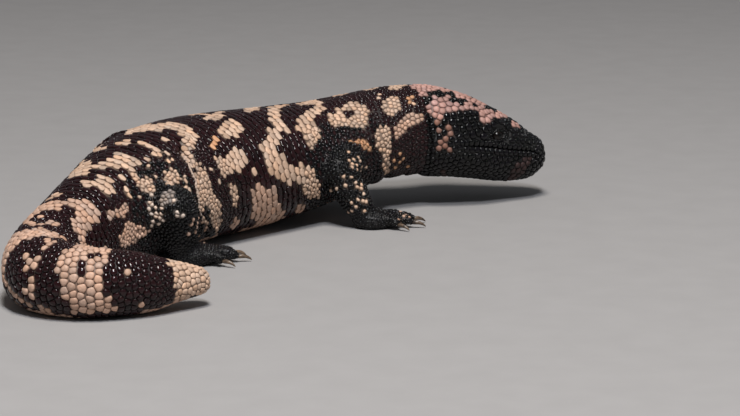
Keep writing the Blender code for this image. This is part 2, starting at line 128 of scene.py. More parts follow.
camera_data = bpy.data.cameras.new("camera")
camera_data.sensor_width = 36.0
camera_data.lens = 36.0 * LENS_PIXELS / IMAGE[0]
camera_data.clip_start, camera_data.clip_end = 0.05, 20.0
camera = add_object("camera", camera_data)
camera.location = Vector(CAMERA_AT * MM)
camera.rotation_euler = Vector(SIGHT).to_track_quat("-Z", "Y").to_euler()
bpy.context.scene.camera = camera
print("camera at", [round(v * MM, 3) for v in CAMERA_AT], "lens", round(camera_data.lens, 1))

# %% [markdown]
# ## The lines of the body
# A lizard's body is easiest to describe along its spine. These are the same tables that the solids were
# drawn from: the spine from nape to tail tip, and the head from snout to nape. With them, any place on
# the body has an address: so many millimetres behind the nape, and so many degrees round from the top of
# the back. Rows of beads, folds and markings can then be laid out as they are on the living skin.

# %% Tables of the body and head
# x, y, top of back, underside, half width, from the nape to the tip of the tail
SPINE = [
    (19.7, 10.5, 54.2, 12.5, 20.0), (7.6, 7.0, 53.9, 12.5, 21.2), (-4.0, 2.0, 52.4, 9.6, 25.0),
    (-23.0, -8.0, 49.6, 5.4, 29.0), (-44.0, -23.0, 49.4, 1.2, 32.5), (-64.0, -41.0, 50.4, -0.9, 33.5),
    (-82.0, -62.0, 50.8, -1.3, 32.5), (-95.6, -86.0, 49.1, -1.3, 29.0), (-107.4, -112.0, 43.5, -1.3, 22.6),
    (-117.8, -138.0, 36.8, -1.3, 18.1), (-126.0, -164.0, 31.0, -1.1, 15.8),
    (-124.6, -186.0, 29.0, -1.0, 14.8), (-108.0, -196.5, 27.2, -0.9, 13.7), (-88.0, -192.0, 24.0, -0.4, 12.1),
    (-76.0, -186.5, 19.9, 2.2, 8.9), (-66.6, -181.5, 15.8, 4.2, 6.0),
]
UPPER_POWER, LOWER_POWER, WIDEST_SHARE = 2.08, 2.35, 0.47
FOLDS = [(0.0, 1.8, 1.1), (19.0, 2.2, 1.8), (27.5, 2.6, 1.5)]  # mm behind the nape, half width, depth
FOLD_ON_BACK, FOLD_GROWTH = 0.15, 1.4  # share of a fold's depth on the back, and its growth to the belly

# the head by mm behind the snout: top, level of the lip, underside, half width
HEAD = [
    (0.0, 22.6, 18.2, 15.8, 3.0), (1.2, 24.0, 18.3, 14.6, 5.6), (3.6, 26.2, 18.6, 12.0, 8.3),
    (8.0, 30.1, 19.3, 9.0, 11.3), (14.0, 35.2, 20.4, 8.2, 13.8), (21.0, 39.8, 22.0, 8.2, 15.9),
    (28.0, 43.9, 24.0, 9.0, 17.9), (36.0, 48.2, 26.2, 10.4, 20.2), (44.0, 51.0, 28.0, 11.6, 21.6),
    (52.0, 53.1, 29.4, 12.2, 21.4), (61.0, 54.2, 30.8, 12.5, 20.0),
]
SNOUT, HEAD_YAW, HEAD_END = np.array([78.4, 28.0]), math.radians(16.0), 61.0
# swellings and hollows of the head: mm behind the snout, degrees from the crown, spans, height
FORMS = [
    (45.0, 52.0, 9.0, 16.0, 1.5), (25.5, 47.0, 5.0, 9.0, 1.4), (26.2, 66.0, 4.0, 9.0, -1.4),
    (33.0, 106.0, 9.0, 12.0, 1.6), (51.0, 95.0, 6.0, 14.0, 0.8), (31.0, 81.0, 6.0, 7.0, -0.6),
    (13.0, 50.0, 7.0, 10.0, 0.5), (6.5, 60.0, 3.0, 14.0, 0.6), (42.0, 0.0, 14.0, 10.0, -0.7),
    (3.5, 20.0, 3.5, 38.0, 1.5),
]
LIPS = [(-6.0, 3.0, 0.5), (6.0, 3.2, 0.5)]  # degrees above and below the mouth, span, height
LIPS_END, LIPS_START = 6, 3  # mm over which the lips fade out at the corner and in from the snout
NAPE_DIP, NAPE_SPAN, NAPE_TURN = 1.1, 2.2, 60  # the dip where head meets neck: depth, half width, turn
MOUTH_CORNER = 44.0
# the mouth's height over the widest level: nearly level along the cheek, bent down round the snout
MOUTH_RISE = [(0, -3.4), (1.5, -2.8), (3, -1.2), (4.5, 1.3), (6.5, 3.0), (9, 3.6), (14, 3.6), (22, 3.1),
              (30, 2.4), (38, 1.6), (44, 0.8)]
MOUTH_SIDES = (30, 140)  # degrees from the crown between which the mouth is looked for
EYE_BACK, EYE_TURN, EYE_RADIUS, EYE_SINK = 26.2, 65.0, 3.1, 1.9
NOSTRIL_BACK, NOSTRIL_TURN = 6.4, 62.0
EAR_BACK, EAR_TURN = 57.0, 76.0


def curve_through(rows, steps):
    """Points on a smooth curve through the rows, with this many steps between neighbours."""
    rows = np.array(rows, float)
    found = []
    for i in range(len(rows) - 1):
        a, b, c, d = (rows[min(max(i + k, 0), len(rows) - 1)] for k in (-1, 0, 1, 2))
        for t in np.arange(steps) / steps:
            bend = (2 * a - 5 * b + 4 * c - d) * t**2 + (3 * b - a - 3 * c + d) * t**3
            found.append(0.5 * (2 * b + (c - a) * t + bend))
    return np.array(found + [rows[-1]])


def arc_along(line):
    """Distance along a line of points, at each of them."""
    return np.concatenate([[0], np.cumsum(np.linalg.norm(np.diff(line, axis=0), axis=1))])


SPINE_LINE = curve_through(SPINE, 12)
SPINE_AT = arc_along(SPINE_LINE[:, :2])
LENGTH = SPINE_AT[-1]
HEAD_LINE = curve_through(HEAD, 8)
HEAD_AHEAD = np.array([math.cos(HEAD_YAW), math.sin(HEAD_YAW)])
print("nape to tail tip along the spine:", round(LENGTH, 1), "mm")

# %% [markdown]
# A cross-section of the body is a soft oval, a little squarer below than above. Two functions here give
# the point of the surface at any address on the body or head. They take whole arrays, because numpy
# works out ten thousand points in the time that a Python loop needs for a hundred.

# %% Surface of the body and of the head
def hump(value, middle, half):
    """1 at the middle, falling away softly on both sides over this half width."""
    return np.exp(-(((value - middle) / half) ** 2))


def smooth_step(value, low, high):
    share = np.clip((value - low) / (high - low), 0, 1)
    return share * share * (3 - 2 * share)


def within(value, span):
    return (value > span[0]) & (value < span[1])


def spine_read(at):
    """x, y, top, underside and half width, each as an array, at distances behind the nape."""
    return [np.interp(at, SPINE_AT, SPINE_LINE[:, k]) for k in range(5)]


def spine_ahead(at):
    """Unit plan vectors towards the head."""
    ahead, behind = spine_read(np.maximum(at - 1.5, 0)), spine_read(np.minimum(at + 1.5, LENGTH))
    way = np.stack([ahead[0] - behind[0], ahead[1] - behind[1]], -1)
    return way / np.linalg.norm(way, axis=-1, keepdims=True)


def section(turn, half_width, top, widest, bottom):
    """Outward and height of a cross-section at turns in degrees from its top."""
    sine, cosine = np.sin(np.radians(turn)), np.cos(np.radians(turn))
    power = np.where(cosine > 0, 2 / UPPER_POWER, 2 / LOWER_POWER)
    reach = np.where(cosine > 0, top - widest, widest - bottom)
    out = np.sign(sine) * np.abs(sine) ** power * half_width
    return out, widest + np.sign(cosine) * np.abs(cosine) ** power * reach


def side_of(turn):
    """Degrees from the top, the same on both sides, from 0 to 180."""
    turn = np.mod(turn, 360)
    return np.minimum(turn, 360 - turn)


def body_surface(at, turn, grow=0.0):
    """Points of neck, trunk and tail; a positive turn is on the animal's right."""
    x, y, top, bottom, half_width = spine_read(at)
    low = 0.5 - 0.5 * np.cos(np.radians(turn))
    fold = sum(depth * hump(at, middle, half) for middle, half, depth in FOLDS)
    grow = grow - fold * np.minimum(1, FOLD_ON_BACK + FOLD_GROWTH * low)
    out, height = section(turn, half_width + grow, top + grow, bottom + (top - bottom) * WIDEST_SHARE,
                          bottom - grow)
    ahead = spine_ahead(at)
    return np.stack([x + ahead[..., 1] * out - PLAN_ORIGIN[0], y - ahead[..., 0] * out - PLAN_ORIGIN[1],
                     np.maximum(height, 0)], -1)


def head_read(back):
    """Top, lip level, underside and half width of the head."""
    return [np.interp(back, HEAD_LINE[:, 0], HEAD_LINE[:, k]) for k in (1, 2, 3, 4)]


def mouth_line(back):
    """Height of the closed mouth."""
    backs, rises = zip(*MOUTH_RISE)
    return head_read(back)[1] + np.interp(back, backs, rises)


def mouth_turns():
    """Degrees from the crown at which the mouth lies, for each millimetre behind the snout."""
    tried, found = np.arange(*MOUTH_SIDES, 0.5), []
    for back in range(int(HEAD_END) + 1):
        top, lip, bottom, half_width = head_read(float(back))
        height = section(tried, half_width, top, lip, bottom)[1]
        found.append(tried[np.argmin(np.abs(height - mouth_line(float(back))))])
    return np.array(found)


MOUTH_TURNS = mouth_turns()


def head_section(back, turn, grow=0.0):
    """Outward and height of the head's outline."""
    top, lip, bottom, half_width = head_read(back)
    side = side_of(turn)
    swell = sum(height * np.exp(-(((back - at) / span) ** 2) - ((side - around) / wide) ** 2)
                for at, around, span, wide, height in FORMS)
    fade = np.clip((MOUTH_CORNER - back) / LIPS_END, 0, 1) * np.clip(back / LIPS_START, 0, 1)
    below = side - np.interp(back, range(len(MOUTH_TURNS)), MOUTH_TURNS)
    swell = swell + fade * sum(height * hump(below, around, wide) for around, wide, height in LIPS)
    swell = swell - NAPE_DIP * hump(back, HEAD_END, NAPE_SPAN) * np.minimum(1, side / NAPE_TURN) + grow
    return section(turn, half_width + swell, top + swell, lip, bottom - swell)


def head_frame(back, out, height):
    """A point of the scene in millimetres from head measures."""
    return np.stack([SNOUT[0] - HEAD_AHEAD[0] * back + HEAD_AHEAD[1] * out - PLAN_ORIGIN[0],
                     SNOUT[1] - HEAD_AHEAD[1] * back - HEAD_AHEAD[0] * out - PLAN_ORIGIN[1],
                     height + 0 * back], -1)


def head_surface(back, turn, grow=0.0):
    out, height = head_section(back, turn, grow)
    return head_frame(back, out, height)


def head_measures(points):
    """Back, outward and height of points of the scene in millimetres."""
    away = points[..., :2] + PLAN_ORIGIN - SNOUT
    return -away @ HEAD_AHEAD, away @ np.array([HEAD_AHEAD[1], -HEAD_AHEAD[0]]), points[..., 2]


print("top of the back over the ribs:", body_surface(np.array(72.0), np.array(0.0)).round(1))

# %% [markdown]
# ## One skin
# Under the beads lies one soft skin without seams. A sculptor would press clay over the joints between
# the solids. Here copies of the solids are joined, swollen by a quarter of a millimetre so that the cuts
# between them close, and remeshed as one surface. The eyes are pressed in too, only to fill their
# sockets for now. A smooth pass takes the steps of the remesh away.

# %% Join the solids of flesh into one surface
VOXEL, PRESS = 1.2, 0.25
FLESH = sorted(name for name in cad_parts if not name.startswith(("eye", "claw")))

copies = []
for name in FLESH + ["eye_right", "eye_left"]:
    copies.append(add_object("clay_" + name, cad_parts[name].data.copy()))
deselect()
for clay in copies:
    clay.select_set(True)
bpy.context.view_layer.objects.active = copies[0]
bpy.ops.object.join()
skin = copies[0]
skin.name = skin.data.name = "skin"
skin.data.materials.clear()
bpy.ops.object.mode_set(mode="EDIT")
bpy.ops.mesh.select_all(action="SELECT")
bpy.ops.mesh.remove_doubles(threshold=WELD)
bpy.ops.mesh.normals_make_consistent(inside=False)
bpy.ops.object.mode_set(mode="OBJECT")


def shape_by(obj, kind, **settings):
    """Adds a modifier and applies it."""
    modifier = obj.modifiers.new(kind.title(), kind)
    for name, value in settings.items():
        setattr(modifier, name, value)
    make_active(obj)
    bpy.ops.object.modifier_apply(modifier=modifier.name)


shape_by(skin, "DISPLACE", strength=PRESS * MM, mid_level=0.0)
shape_by(skin, "REMESH", mode="VOXEL", voxel_size=VOXEL * MM)
shape_by(skin, "SMOOTH", factor=0.5, iterations=5)
print("skin:", len(skin.data.vertices), "points")

# %% [markdown]
# ## The head is drawn again, finer
# The solid head carries coarse plates that only hint at the real ones. On the skin they're planed off:
# each point of the head moves along the line from the middle of its cross-section to the smooth head.
# The mesh of the head is then divided for the small forms, twice over round the eyes and nostrils.

# %% Plane the head and draw the skin in under the beads
BEAD_DEPTH, FOOT_DEPTH = 0.85, 0.38
SKIN_FLOOR = 0.12  # lowest mm of the skin over the ground
BACK_STEP, ROUND_STEP = 0.5, 2.0
GRID_BACKS = np.arange(0, HEAD_END + 0.01, BACK_STEP)
GRID_ROUND = np.arange(-180, 181, ROUND_STEP)
PLANE_SNOUT, PLANE_NAPE, PLANE_WITHIN = (0.6, 2.4), (57.5, 60.8), 6  # where planing sets in and ends
FOOT_ROUND, FOOT_TALL = (21, 25), (7.5, 11.0)  # mm from a foot's middle and up, where it turns to leg


def head_grids():
    """Reach and turn of the head for each distance behind the snout and angle round the lip's middle."""
    reaches, turn_grid = [], []
    turns = np.arange(-180, 181, 1.0)
    for back in GRID_BACKS:
        out, height = head_section(np.full(turns.shape, back), turns)
        lip = head_read(back)[1]
        angle = np.degrees(np.arctan2(out, height - lip))
        angle[0], angle[-1] = -180, 180
        order = np.argsort(angle)
        reaches.append(np.interp(GRID_ROUND, angle[order], np.hypot(out, height - lip)[order]))
        turn_grid.append(np.interp(GRID_ROUND, angle[order], turns[order]))
    return np.array(reaches), np.array(turn_grid)


HEAD_REACH, HEAD_TURN = head_grids()


def read_grid(grid, back, angle):
    """Reads a head grid between its lines."""
    i = np.clip(back / BACK_STEP, 0, len(GRID_BACKS) - 1.001)
    j = np.clip((angle + 180) / ROUND_STEP, 0, len(GRID_ROUND) - 1.001)
    i0, j0 = i.astype(int), j.astype(int)
    a, b = i - i0, j - j0
    return ((grid[i0, j0] * (1 - a) + grid[i0 + 1, j0] * a) * (1 - b)
            + (grid[i0, j0 + 1] * (1 - a) + grid[i0 + 1, j0 + 1] * a) * b)


def head_address(points):
    """Back, turn and reach of points near the head, and the lip level there."""
    back, out, height = head_measures(points)
    lip = head_read(back)[1]
    angle = np.degrees(np.arctan2(out, height - lip))
    return back, read_grid(HEAD_TURN, back, angle), angle, np.hypot(out, height - lip), lip


def read_vectors(items, field):
    """One vector of each point or face of a mesh, as rows of an array."""
    flat = np.zeros(len(items) * 3)
    items.foreach_get(field, flat)
    return flat.reshape(-1, 3)


def read_points(obj):
    return read_vectors(obj.data.vertices, "co") / MM


def read_normals(obj):
    return read_vectors(obj.data.vertices, "normal")


def write_points(obj, points):
    obj.data.vertices.foreach_set("co", (np.asarray(points) * MM).ravel())
    obj.data.update()


def nearest_of(points, spots):
    """Distance of each point from the nearest of the spots."""
    return np.min([np.linalg.norm(points - spot, axis=1) for spot in spots], axis=0)


# plan middle of each foot, from the solids themselves
FEET = {}
for node in ("forefoot_right", "forefoot_left", "hindfoot_right", "hindfoot_left"):
    low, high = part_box(node)
    FEET[node] = np.array([(low.x + high.x) / 2, (low.y + high.y) / 2]) / MM


def foot_share(points):
    """1 on the feet, 0 elsewhere, soft between."""
    nearest = nearest_of(points[:, :2], FEET.values())
    return (1 - smooth_step(nearest, *FOOT_ROUND)) * (1 - smooth_step(points[:, 2], *FOOT_TALL))


def plane_head(points, depth):
    """Points of the head moved on to its smooth form, drawn in by depth."""
    back, _, angle, reach, lip = head_address(points)
    target = read_grid(HEAD_REACH, back, angle) - depth
    weight = smooth_step(back, *PLANE_SNOUT) * (1 - smooth_step(back, *PLANE_NAPE))
    weight = weight * (np.abs(reach - target) < PLANE_WITHIN)
    scaled = np.where(weight > 0, 1 + weight * (target / np.maximum(reach, 0.1) - 1), 1.0)
    _, out, height = head_measures(points)
    planed = head_frame(back, out * scaled, lip + (height - lip) * scaled)
    return np.where((weight > 0)[:, None], planed, points), weight


points, normals = read_points(skin), read_normals(skin)
depth = BEAD_DEPTH + (FOOT_DEPTH - BEAD_DEPTH) * foot_share(points)
drawn_in = points - normals * (PRESS + depth)[:, None]
drawn_in[:, 2] = np.maximum(drawn_in[:, 2], SKIN_FLOOR)
planed, on_head = plane_head(drawn_in, BEAD_DEPTH)
write_points(skin, planed)
print("points of the head:", int((on_head > 0.5).sum()))

# %% Divide the mesh where the small forms are
EYES = {side: head_surface(np.array(EYE_BACK), np.array(EYE_TURN * side)) for side in (1, -1)}
NOSTRILS = {side: head_surface(np.array(NOSTRIL_BACK), np.array(NOSTRIL_TURN * side)) for side in (1, -1)}
FINE_BACK, FINE_OUT, FINE_HEIGHT = 60, 26, 3  # box of the head whose faces are divided
FINE_EYE, FINE_NOSTRIL = 6.5, 3.5  # mm round them where the faces are divided again


def divide_faces(obj, chosen):
    """Cuts the chosen faces of a mesh in four."""
    make_active(obj)
    bpy.ops.object.mode_set(mode="EDIT")
    bpy.ops.mesh.select_mode(type="FACE")
    bpy.ops.mesh.select_all(action="DESELECT")
    bpy.ops.object.mode_set(mode="OBJECT")
    obj.data.polygons.foreach_set("select", chosen)
    bpy.ops.object.mode_set(mode="EDIT")
    bpy.ops.mesh.subdivide(number_cuts=1, smoothness=0.0)
    bpy.ops.mesh.select_all(action="DESELECT")
    bpy.ops.object.mode_set(mode="OBJECT")


back, out, height = head_measures(read_vectors(skin.data.polygons, "center") / MM)
divide_faces(skin, (back < FINE_BACK) & (np.abs(out) < FINE_OUT) & (height > FINE_HEIGHT))
middles = read_vectors(skin.data.polygons, "center") / MM
near = nearest_of(middles, EYES.values()) < FINE_EYE
near |= nearest_of(middles, NOSTRILS.values()) < FINE_NOSTRIL
divide_faces(skin, near)
planed, on_head = plane_head(read_points(skin), BEAD_DEPTH)
write_points(skin, planed)
print("skin:", len(skin.data.vertices), "points,", len(skin.data.polygons), "faces")

# %% [markdown]
# ## Lids, lips, nostrils and folds
# The eye of this lizard is small and dark and sits under a heavy brow, with thick lids close round it.
# The lids follow the ball: at the rim of the opening the skin stands a little above the eyeball, and
# inside the opening it drops behind it. The mouth is a long groove that ends under the temple. Each of
# these is a change of height along the skin's own normal, given by a short formula of the address, which
# is how a sculptor would press a tool along the clay.

# %% Lids, mouth, nostrils and ear openings
EYE_OPEN, EYE_SLANT = (3.15, 1.85), 0.10  # half length and half height of the opening, and its slant
EYE_NEAR, EYE_DEEP = 6.4, 4  # mm from the eye, along the skin and through it, that the lids take in
LID_EDGE, LID_SPREAD, LID_FLOOR = 0.38, 0.75, -0.7
LID_DROP, LID_CLIMB = 1.1, (0.93, 1.04)  # the opening drops behind the ball; reach where the lid climbs out
CREASE_DEPTH, CREASE_LINE = 0.3, (2.0, 0.28)  # between upper lid and brow: its reach and half width
MOUTH_GROOVE, MOUTH_HALF, MOUTH_FADE, MOUTH_FRONT = 0.95, 0.42, 4, 1.5
SNOUT_BEND, SNOUT_SLOPE = 0.7, (3.5, 2.5)  # across the mouth, measures are taller where it slopes
NOSTRIL_SIZE, NOSTRIL_PIT, NOSTRIL_RIM, NOSTRIL_RING = 0.85, 1.5, 0.35, (1.5, 0.5)
EAR_HALF_LENGTH, EAR_HALF_WIDTH, EAR_PIT = 2.6, 0.7, 1.6
EAR_DEGREE = 0.37  # mm of a degree round the head at the ear
EAR_BARE = (0.25, 0.2)  # the bare skin at the ear is wider and longer than its pit by these
HEAD_WITHIN = 30  # mm from the middle of a cross-section


def outward_at(back, turn):
    """Unit normal of the head at one place."""
    def place(behind, around):
        return head_surface(np.array(back + behind), np.array(turn + around))

    normal = np.cross(place(0.5, 0) - place(-0.5, 0), place(0, 2) - place(0, -2))
    normal /= np.linalg.norm(normal)
    middle = head_frame(np.array(back), np.array(0.0), head_read(back)[1])
    return normal if normal @ (place(0, 0) - middle) > 0 else -normal


def eye_frame(side):
    """Unit vectors along the head, up and outward at an eye."""
    outward = outward_at(EYE_BACK, EYE_TURN * side)
    ahead = np.append(HEAD_AHEAD, 0.0)
    ahead = ahead - outward * (ahead @ outward)
    ahead /= np.linalg.norm(ahead)
    up = np.cross(outward, ahead)
    return ahead, up if up[2] > 0 else -up, outward


def eye_measures(points, side):
    """Along the head, up, and outward from an eye's place on the skin."""
    return [(points - EYES[side]) @ way for way in eye_frame(side)]


def eye_reach(a, b):
    """1 on the edge of the lids' opening, less inside it; the back corner is a little lower."""
    return np.sqrt((a / EYE_OPEN[0]) ** 2 + ((b - EYE_SLANT * a) / EYE_OPEN[1]) ** 2)


def ear_reach(back, side, wider=0.0, longer=0.0):
    """1 on the edge of an ear opening, less inside it."""
    return np.sqrt(((back - EAR_BACK) / (EAR_HALF_WIDTH + wider)) ** 2
                   + ((side - EAR_TURN) * EAR_DEGREE / (EAR_HALF_LENGTH + longer)) ** 2)


points = read_points(skin)
for side in (1, -1):
    a, b, c = eye_measures(points, side)
    spread, reach = np.hypot(a, b), eye_reach(a, b)
    near = (spread < EYE_NEAR) & (np.abs(c) < EYE_DEEP)
    ball = np.sqrt(np.maximum(EYE_RADIUS**2 - spread**2, 0)) - EYE_SINK
    rim = np.maximum(ball, LID_FLOOR) + LID_EDGE
    fade = hump(np.maximum(reach - 1, 0), 0, LID_SPREAD)
    lid = rim * fade + c * (1 - fade)
    lid = lid - CREASE_DEPTH * hump(reach, *CREASE_LINE) * (b > 0)
    inside = ball - LID_DROP
    height = inside + (lid - inside) * smooth_step(reach, *LID_CLIMB)
    moved = points + eye_frame(side)[2] * (height - c)[:, None]
    points = np.where(near[:, None], moved, points)

write_points(skin, points)
normals = read_normals(skin)
back, turn, _, reach, _ = head_address(points)
side = side_of(turn)
head_part = (back > -1) & (back < HEAD_END) & (reach < HEAD_WITHIN)
fade = np.clip((MOUTH_CORNER + 1 - back) / MOUTH_FADE, 0, 1)
fade = np.where(back < MOUTH_FRONT, 1, fade * within(side, MOUTH_SIDES))
half = MOUTH_HALF * (1 + SNOUT_BEND * hump(back, *SNOUT_SLOPE))
groove = MOUTH_GROOVE * fade * hump(points[:, 2], mouth_line(back), half)
for spot in NOSTRILS.values():
    away = np.linalg.norm(points - spot, axis=1)
    groove += NOSTRIL_PIT * np.exp(-((away / NOSTRIL_SIZE) ** 4))
    groove -= NOSTRIL_RIM * hump(away, *NOSTRIL_RING)
groove += EAR_PIT * np.exp(-(ear_reach(back, side) ** 4))
points = points - normals * (groove * head_part)[:, None]
write_points(skin, points)
print("deepest groove:", round(float((groove * head_part).max()), 2), "mm")

# %% [markdown]
# ## Loose skin of the neck and flank
# A well-fed Gila monster has loose skin that hangs in folds behind the jaw, in front of the shoulder and
# before the thigh. The long fold on the flank is placed by the line that it draws in the photograph. The
# other side of the body gets the same fold, as on the living animal.

# %% Folds
FLANK_FOLD = [(183, 148), (189, 160), (195, 176), (199, 192), (202, 208), (206, 226)]
FLANK_AT, FLANK_TURNS = (105, 165), (15, 140)  # mm behind the nape and turns that the fold runs through
FLANK_DEPTH, FLANK_SWELL = 2.5, 1.6
PIT_LINE, SWELL_LINE = (-2.2, 3.0), (6, 5.0)  # pixels from the traced line, and half width
TIP_DRAWN, TIP_STRETCH, TIP_WITHIN = 2.8, (-13, 4), 18
OWN_WITHIN = 3.0  # a point of the skin is the body's, not a leg's, within this many mm
FOLD_FLOOR = 0.1
NECK_END, NECK_TURNS = 55, (25, 150)
NECK_CREASES = [  # line in the picture, depth in mm, half width in pixels
    ([(371, 128), (374, 143), (379, 158), (384, 174)], 2.0, 2.6),
    ([(392, 112), (392.5, 128), (391, 150), (389, 174)], 2.1, 2.6),
    ([(429, 108), (432, 122), (433, 140), (433, 154), (436, 168)], 1.4, 2.8),
]
THROAT_WRINKLES = [(6.5, 1.6, 0.7), (12.5, 1.8, 0.8), (23.5, 1.5, 0.6), (33.0, 2.2, 0.9), (39.0, 2.2, 0.6)]
WRINKLE_SLANT, WRINKLE_START, WRINKLE_LOW = 0.05, 3, (0.25, 0.7)


def line_distance(points, line):
    """Signed distance in pixels from a line, positive on its right as it runs down the picture."""
    line = np.array(line, float)
    best, signed = np.full(len(points), 1e9), np.zeros(len(points))
    for a, b in zip(line[:-1], line[1:]):
        run = b - a
        share = np.clip(((points - a) @ run) / (run @ run), 0, 1)
        gap = points - a - share[:, None] * run
        away = np.linalg.norm(gap, axis=1)
        sign = np.sign(run[1] * gap[:, 0] - run[0] * gap[:, 1])
        closer = away < best
        best, signed = np.where(closer, away, best), np.where(closer, away * sign, signed)
    return signed


def spine_address(points):
    """Distance behind the nape and turn from the top of the back, for points near the body."""
    plan = points[:, :2] + PLAN_ORIGIN
    stations = np.arange(0, LENGTH, 0.75)
    x, y, top, bottom, half_width = spine_read(stations)
    best, at = np.full(len(points), 1e9), np.zeros(len(points))
    for s, cx, cy, wide in zip(stations, x, y, half_width):
        away = ((plan[:, 0] - cx) ** 2 + (plan[:, 1] - cy) ** 2) / wide**2
        closer = away < best
        best, at = np.where(closer, away, best), np.where(closer, s, at)
    x, y, top, bottom, half_width = spine_read(at)
    ahead = spine_ahead(at)
    offset = plan - np.stack([x, y], -1)
    out = (offset * np.stack([ahead[:, 1], -ahead[:, 0]], -1)).sum(1)
    widest = bottom + (top - bottom) * WIDEST_SHARE
    rise = points[:, 2] - widest
    reach = np.where(rise > 0, top - widest, widest - bottom)
    return at, np.degrees(np.arctan2(out / half_width, rise / reach))


points, normals = read_points(skin), read_normals(skin)
# the last length of the tail is drawn out to the blunt point that the picture shows
tip_back = -spine_ahead(np.array([LENGTH]))[0]
from_tip = points[:, :2] + PLAN_ORIGIN - SPINE_LINE[-1, :2]
drawn = TIP_DRAWN * smooth_step(from_tip @ tip_back, *TIP_STRETCH)
drawn *= np.linalg.norm(from_tip, axis=1) < TIP_WITHIN
points[:, :2] += drawn[:, None] * tip_back
at, turn = spine_address(points)
own = np.linalg.norm(points - body_surface(at, turn), axis=1) < OWN_WITHIN
mirrored = body_surface(at, -turn)
lift = np.zeros(len(points))
for place, sign in ((points, 1), (mirrored, -1)):
    off = line_distance(picture_place(place), FLANK_FOLD)
    on_side = within(turn * sign, FLANK_TURNS) & within(at, FLANK_AT) & own
    lift += on_side * FLANK_SWELL * hump(off, *SWELL_LINE)
    lift -= on_side * FLANK_DEPTH * hump(off, *PIT_LINE)
    on_neck = within(turn * sign, NECK_TURNS) & (at < NECK_END) & own
    for crease, depth, half in NECK_CREASES:
        off = line_distance(picture_place(place), crease)
        lift -= on_neck * depth * hump(off, 0, half)
low = 0.5 - 0.5 * np.cos(np.radians(turn))
slope = at + WRINKLE_SLANT * np.abs(turn) - WRINKLE_START
for middle, half, depth in THROAT_WRINKLES:
    lift -= own * depth * hump(slope, middle, half) * smooth_step(low, *WRINKLE_LOW) * (at > 2)
points = points + normals * lift[:, None]
points[:, 2] = np.maximum(points[:, 2], FOLD_FLOOR)
write_points(skin, points)
shape_by(skin, "SMOOTH", factor=0.35, iterations=1)
skin.data.shade_smooth()
print("folds lift the skin from", round(float(lift.min()), 2), "to", round(float(lift.max()), 2), "mm")

# %% [markdown]
# ## Where the beads stand
# On the back and tail the beads stand in rows across the body, each row half a bead out of step with
# the next. The rows lean a little back beside the spine and forward down the flank. On the head they grow
# into uneven plates, largest over the temples and finest round the eyes. On the legs they're round
# pebbles. The rows are laid out by address. The rest is scattered evenly: random points are kept where
# they have room, then each moves to the middle of its own patch of skin, until they sit as evenly as
# real ones.

# %% Tools for placing beads
SKIN_POINTS = read_points(skin)
SKIN_NORMALS = read_normals(skin)
skin.data.calc_loop_triangles()
SKIN_TRIS = np.zeros(len(skin.data.loop_triangles) * 3, int)
skin.data.loop_triangles.foreach_get("vertices", SKIN_TRIS)
SKIN_TRIS = SKIN_TRIS.reshape(-1, 3)
surface_tree = BVHTree.FromPolygons(SKIN_POINTS.tolist(), SKIN_TRIS.tolist())


def tree_of(points):
    tree = kdtree.KDTree(len(points))
    for i, point in enumerate(points):
        tree.insert(point, i)
    tree.balance()
    return tree


skin_tree = tree_of(SKIN_POINTS)


def settle(points):
    """Moves points on to the skin; returns them with their distance from it and a smooth normal."""
    placed, gaps, normals = np.array(points, float), np.zeros(len(points)), np.zeros((len(points), 3))
    for i, point in enumerate(points):
        spot, _, _, gap = surface_tree.find_nearest(Vector(point))
        near = [index for _, index, _ in skin_tree.find_n(spot, 12)]
        normal = SKIN_NORMALS[near].sum(0)
        placed[i], gaps[i], normals[i] = spot, gap, normal / np.linalg.norm(normal)
    return placed, gaps, normals


def thin_out(candidates, gaps, taken=(), cell=3.0):
    """Keeps candidates, in their order, that stand at least their gap from what is kept already."""
    grid = {}
    for point in taken:
        grid.setdefault(tuple((point // cell).astype(int)), []).append(point)
    kept = []
    for i, (point, gap) in enumerate(zip(candidates, gaps)):
        span = int(math.ceil(gap / cell))
        x, y, z = (point // cell).astype(int)
        clear = all(((other - point) ** 2).sum() >= gap * gap
                    for dx in range(-span, span + 1) for dy in range(-span, span + 1)
                    for dz in range(-span, span + 1) for other in grid.get((x + dx, y + dy, z + dz), ()))
        if clear:
            kept.append(i)
            grid.setdefault((x, y, z), []).append(point)
    return np.array(kept, int)


def scatter_on(mask, count, seed):
    """Seeded points spread evenly by area over the chosen triangles of the skin."""
    draw = np.random.default_rng(seed)
    corners = SKIN_POINTS[SKIN_TRIS[mask]]
    area = np.linalg.norm(np.cross(corners[:, 1] - corners[:, 0], corners[:, 2] - corners[:, 0]), axis=1)
    picked = draw.choice(len(corners), count, p=area / area.sum())
    a, b = np.sqrt(draw.random(count)), draw.random(count)
    c = corners[picked]
    return c[:, 0] * (1 - a)[:, None] + c[:, 1] * (a * (1 - b))[:, None] + c[:, 2] * (a * b)[:, None]


def even_out(free, fixed, samples, rounds):
    """Moves each free point to the middle of the samples nearest to it, and back on to the skin."""
    for _ in range(rounds):
        everything = np.concatenate([free, fixed]) if len(fixed) else free
        tree = tree_of(everything)
        owner = np.array([tree.find(point)[1] for point in samples])
        counts = np.bincount(owner, minlength=len(everything))[:len(free)]
        sums = np.stack([np.bincount(owner, samples[:, k], minlength=len(everything))[:len(free)]
                         for k in range(3)], -1)
        free = np.where((counts > 2)[:, None], sums / np.maximum(counts, 1)[:, None], free)
        free = np.array([surface_tree.find_nearest(Vector(point))[0] for point in free])
    return free


print("skin triangles:", len(SKIN_TRIS))

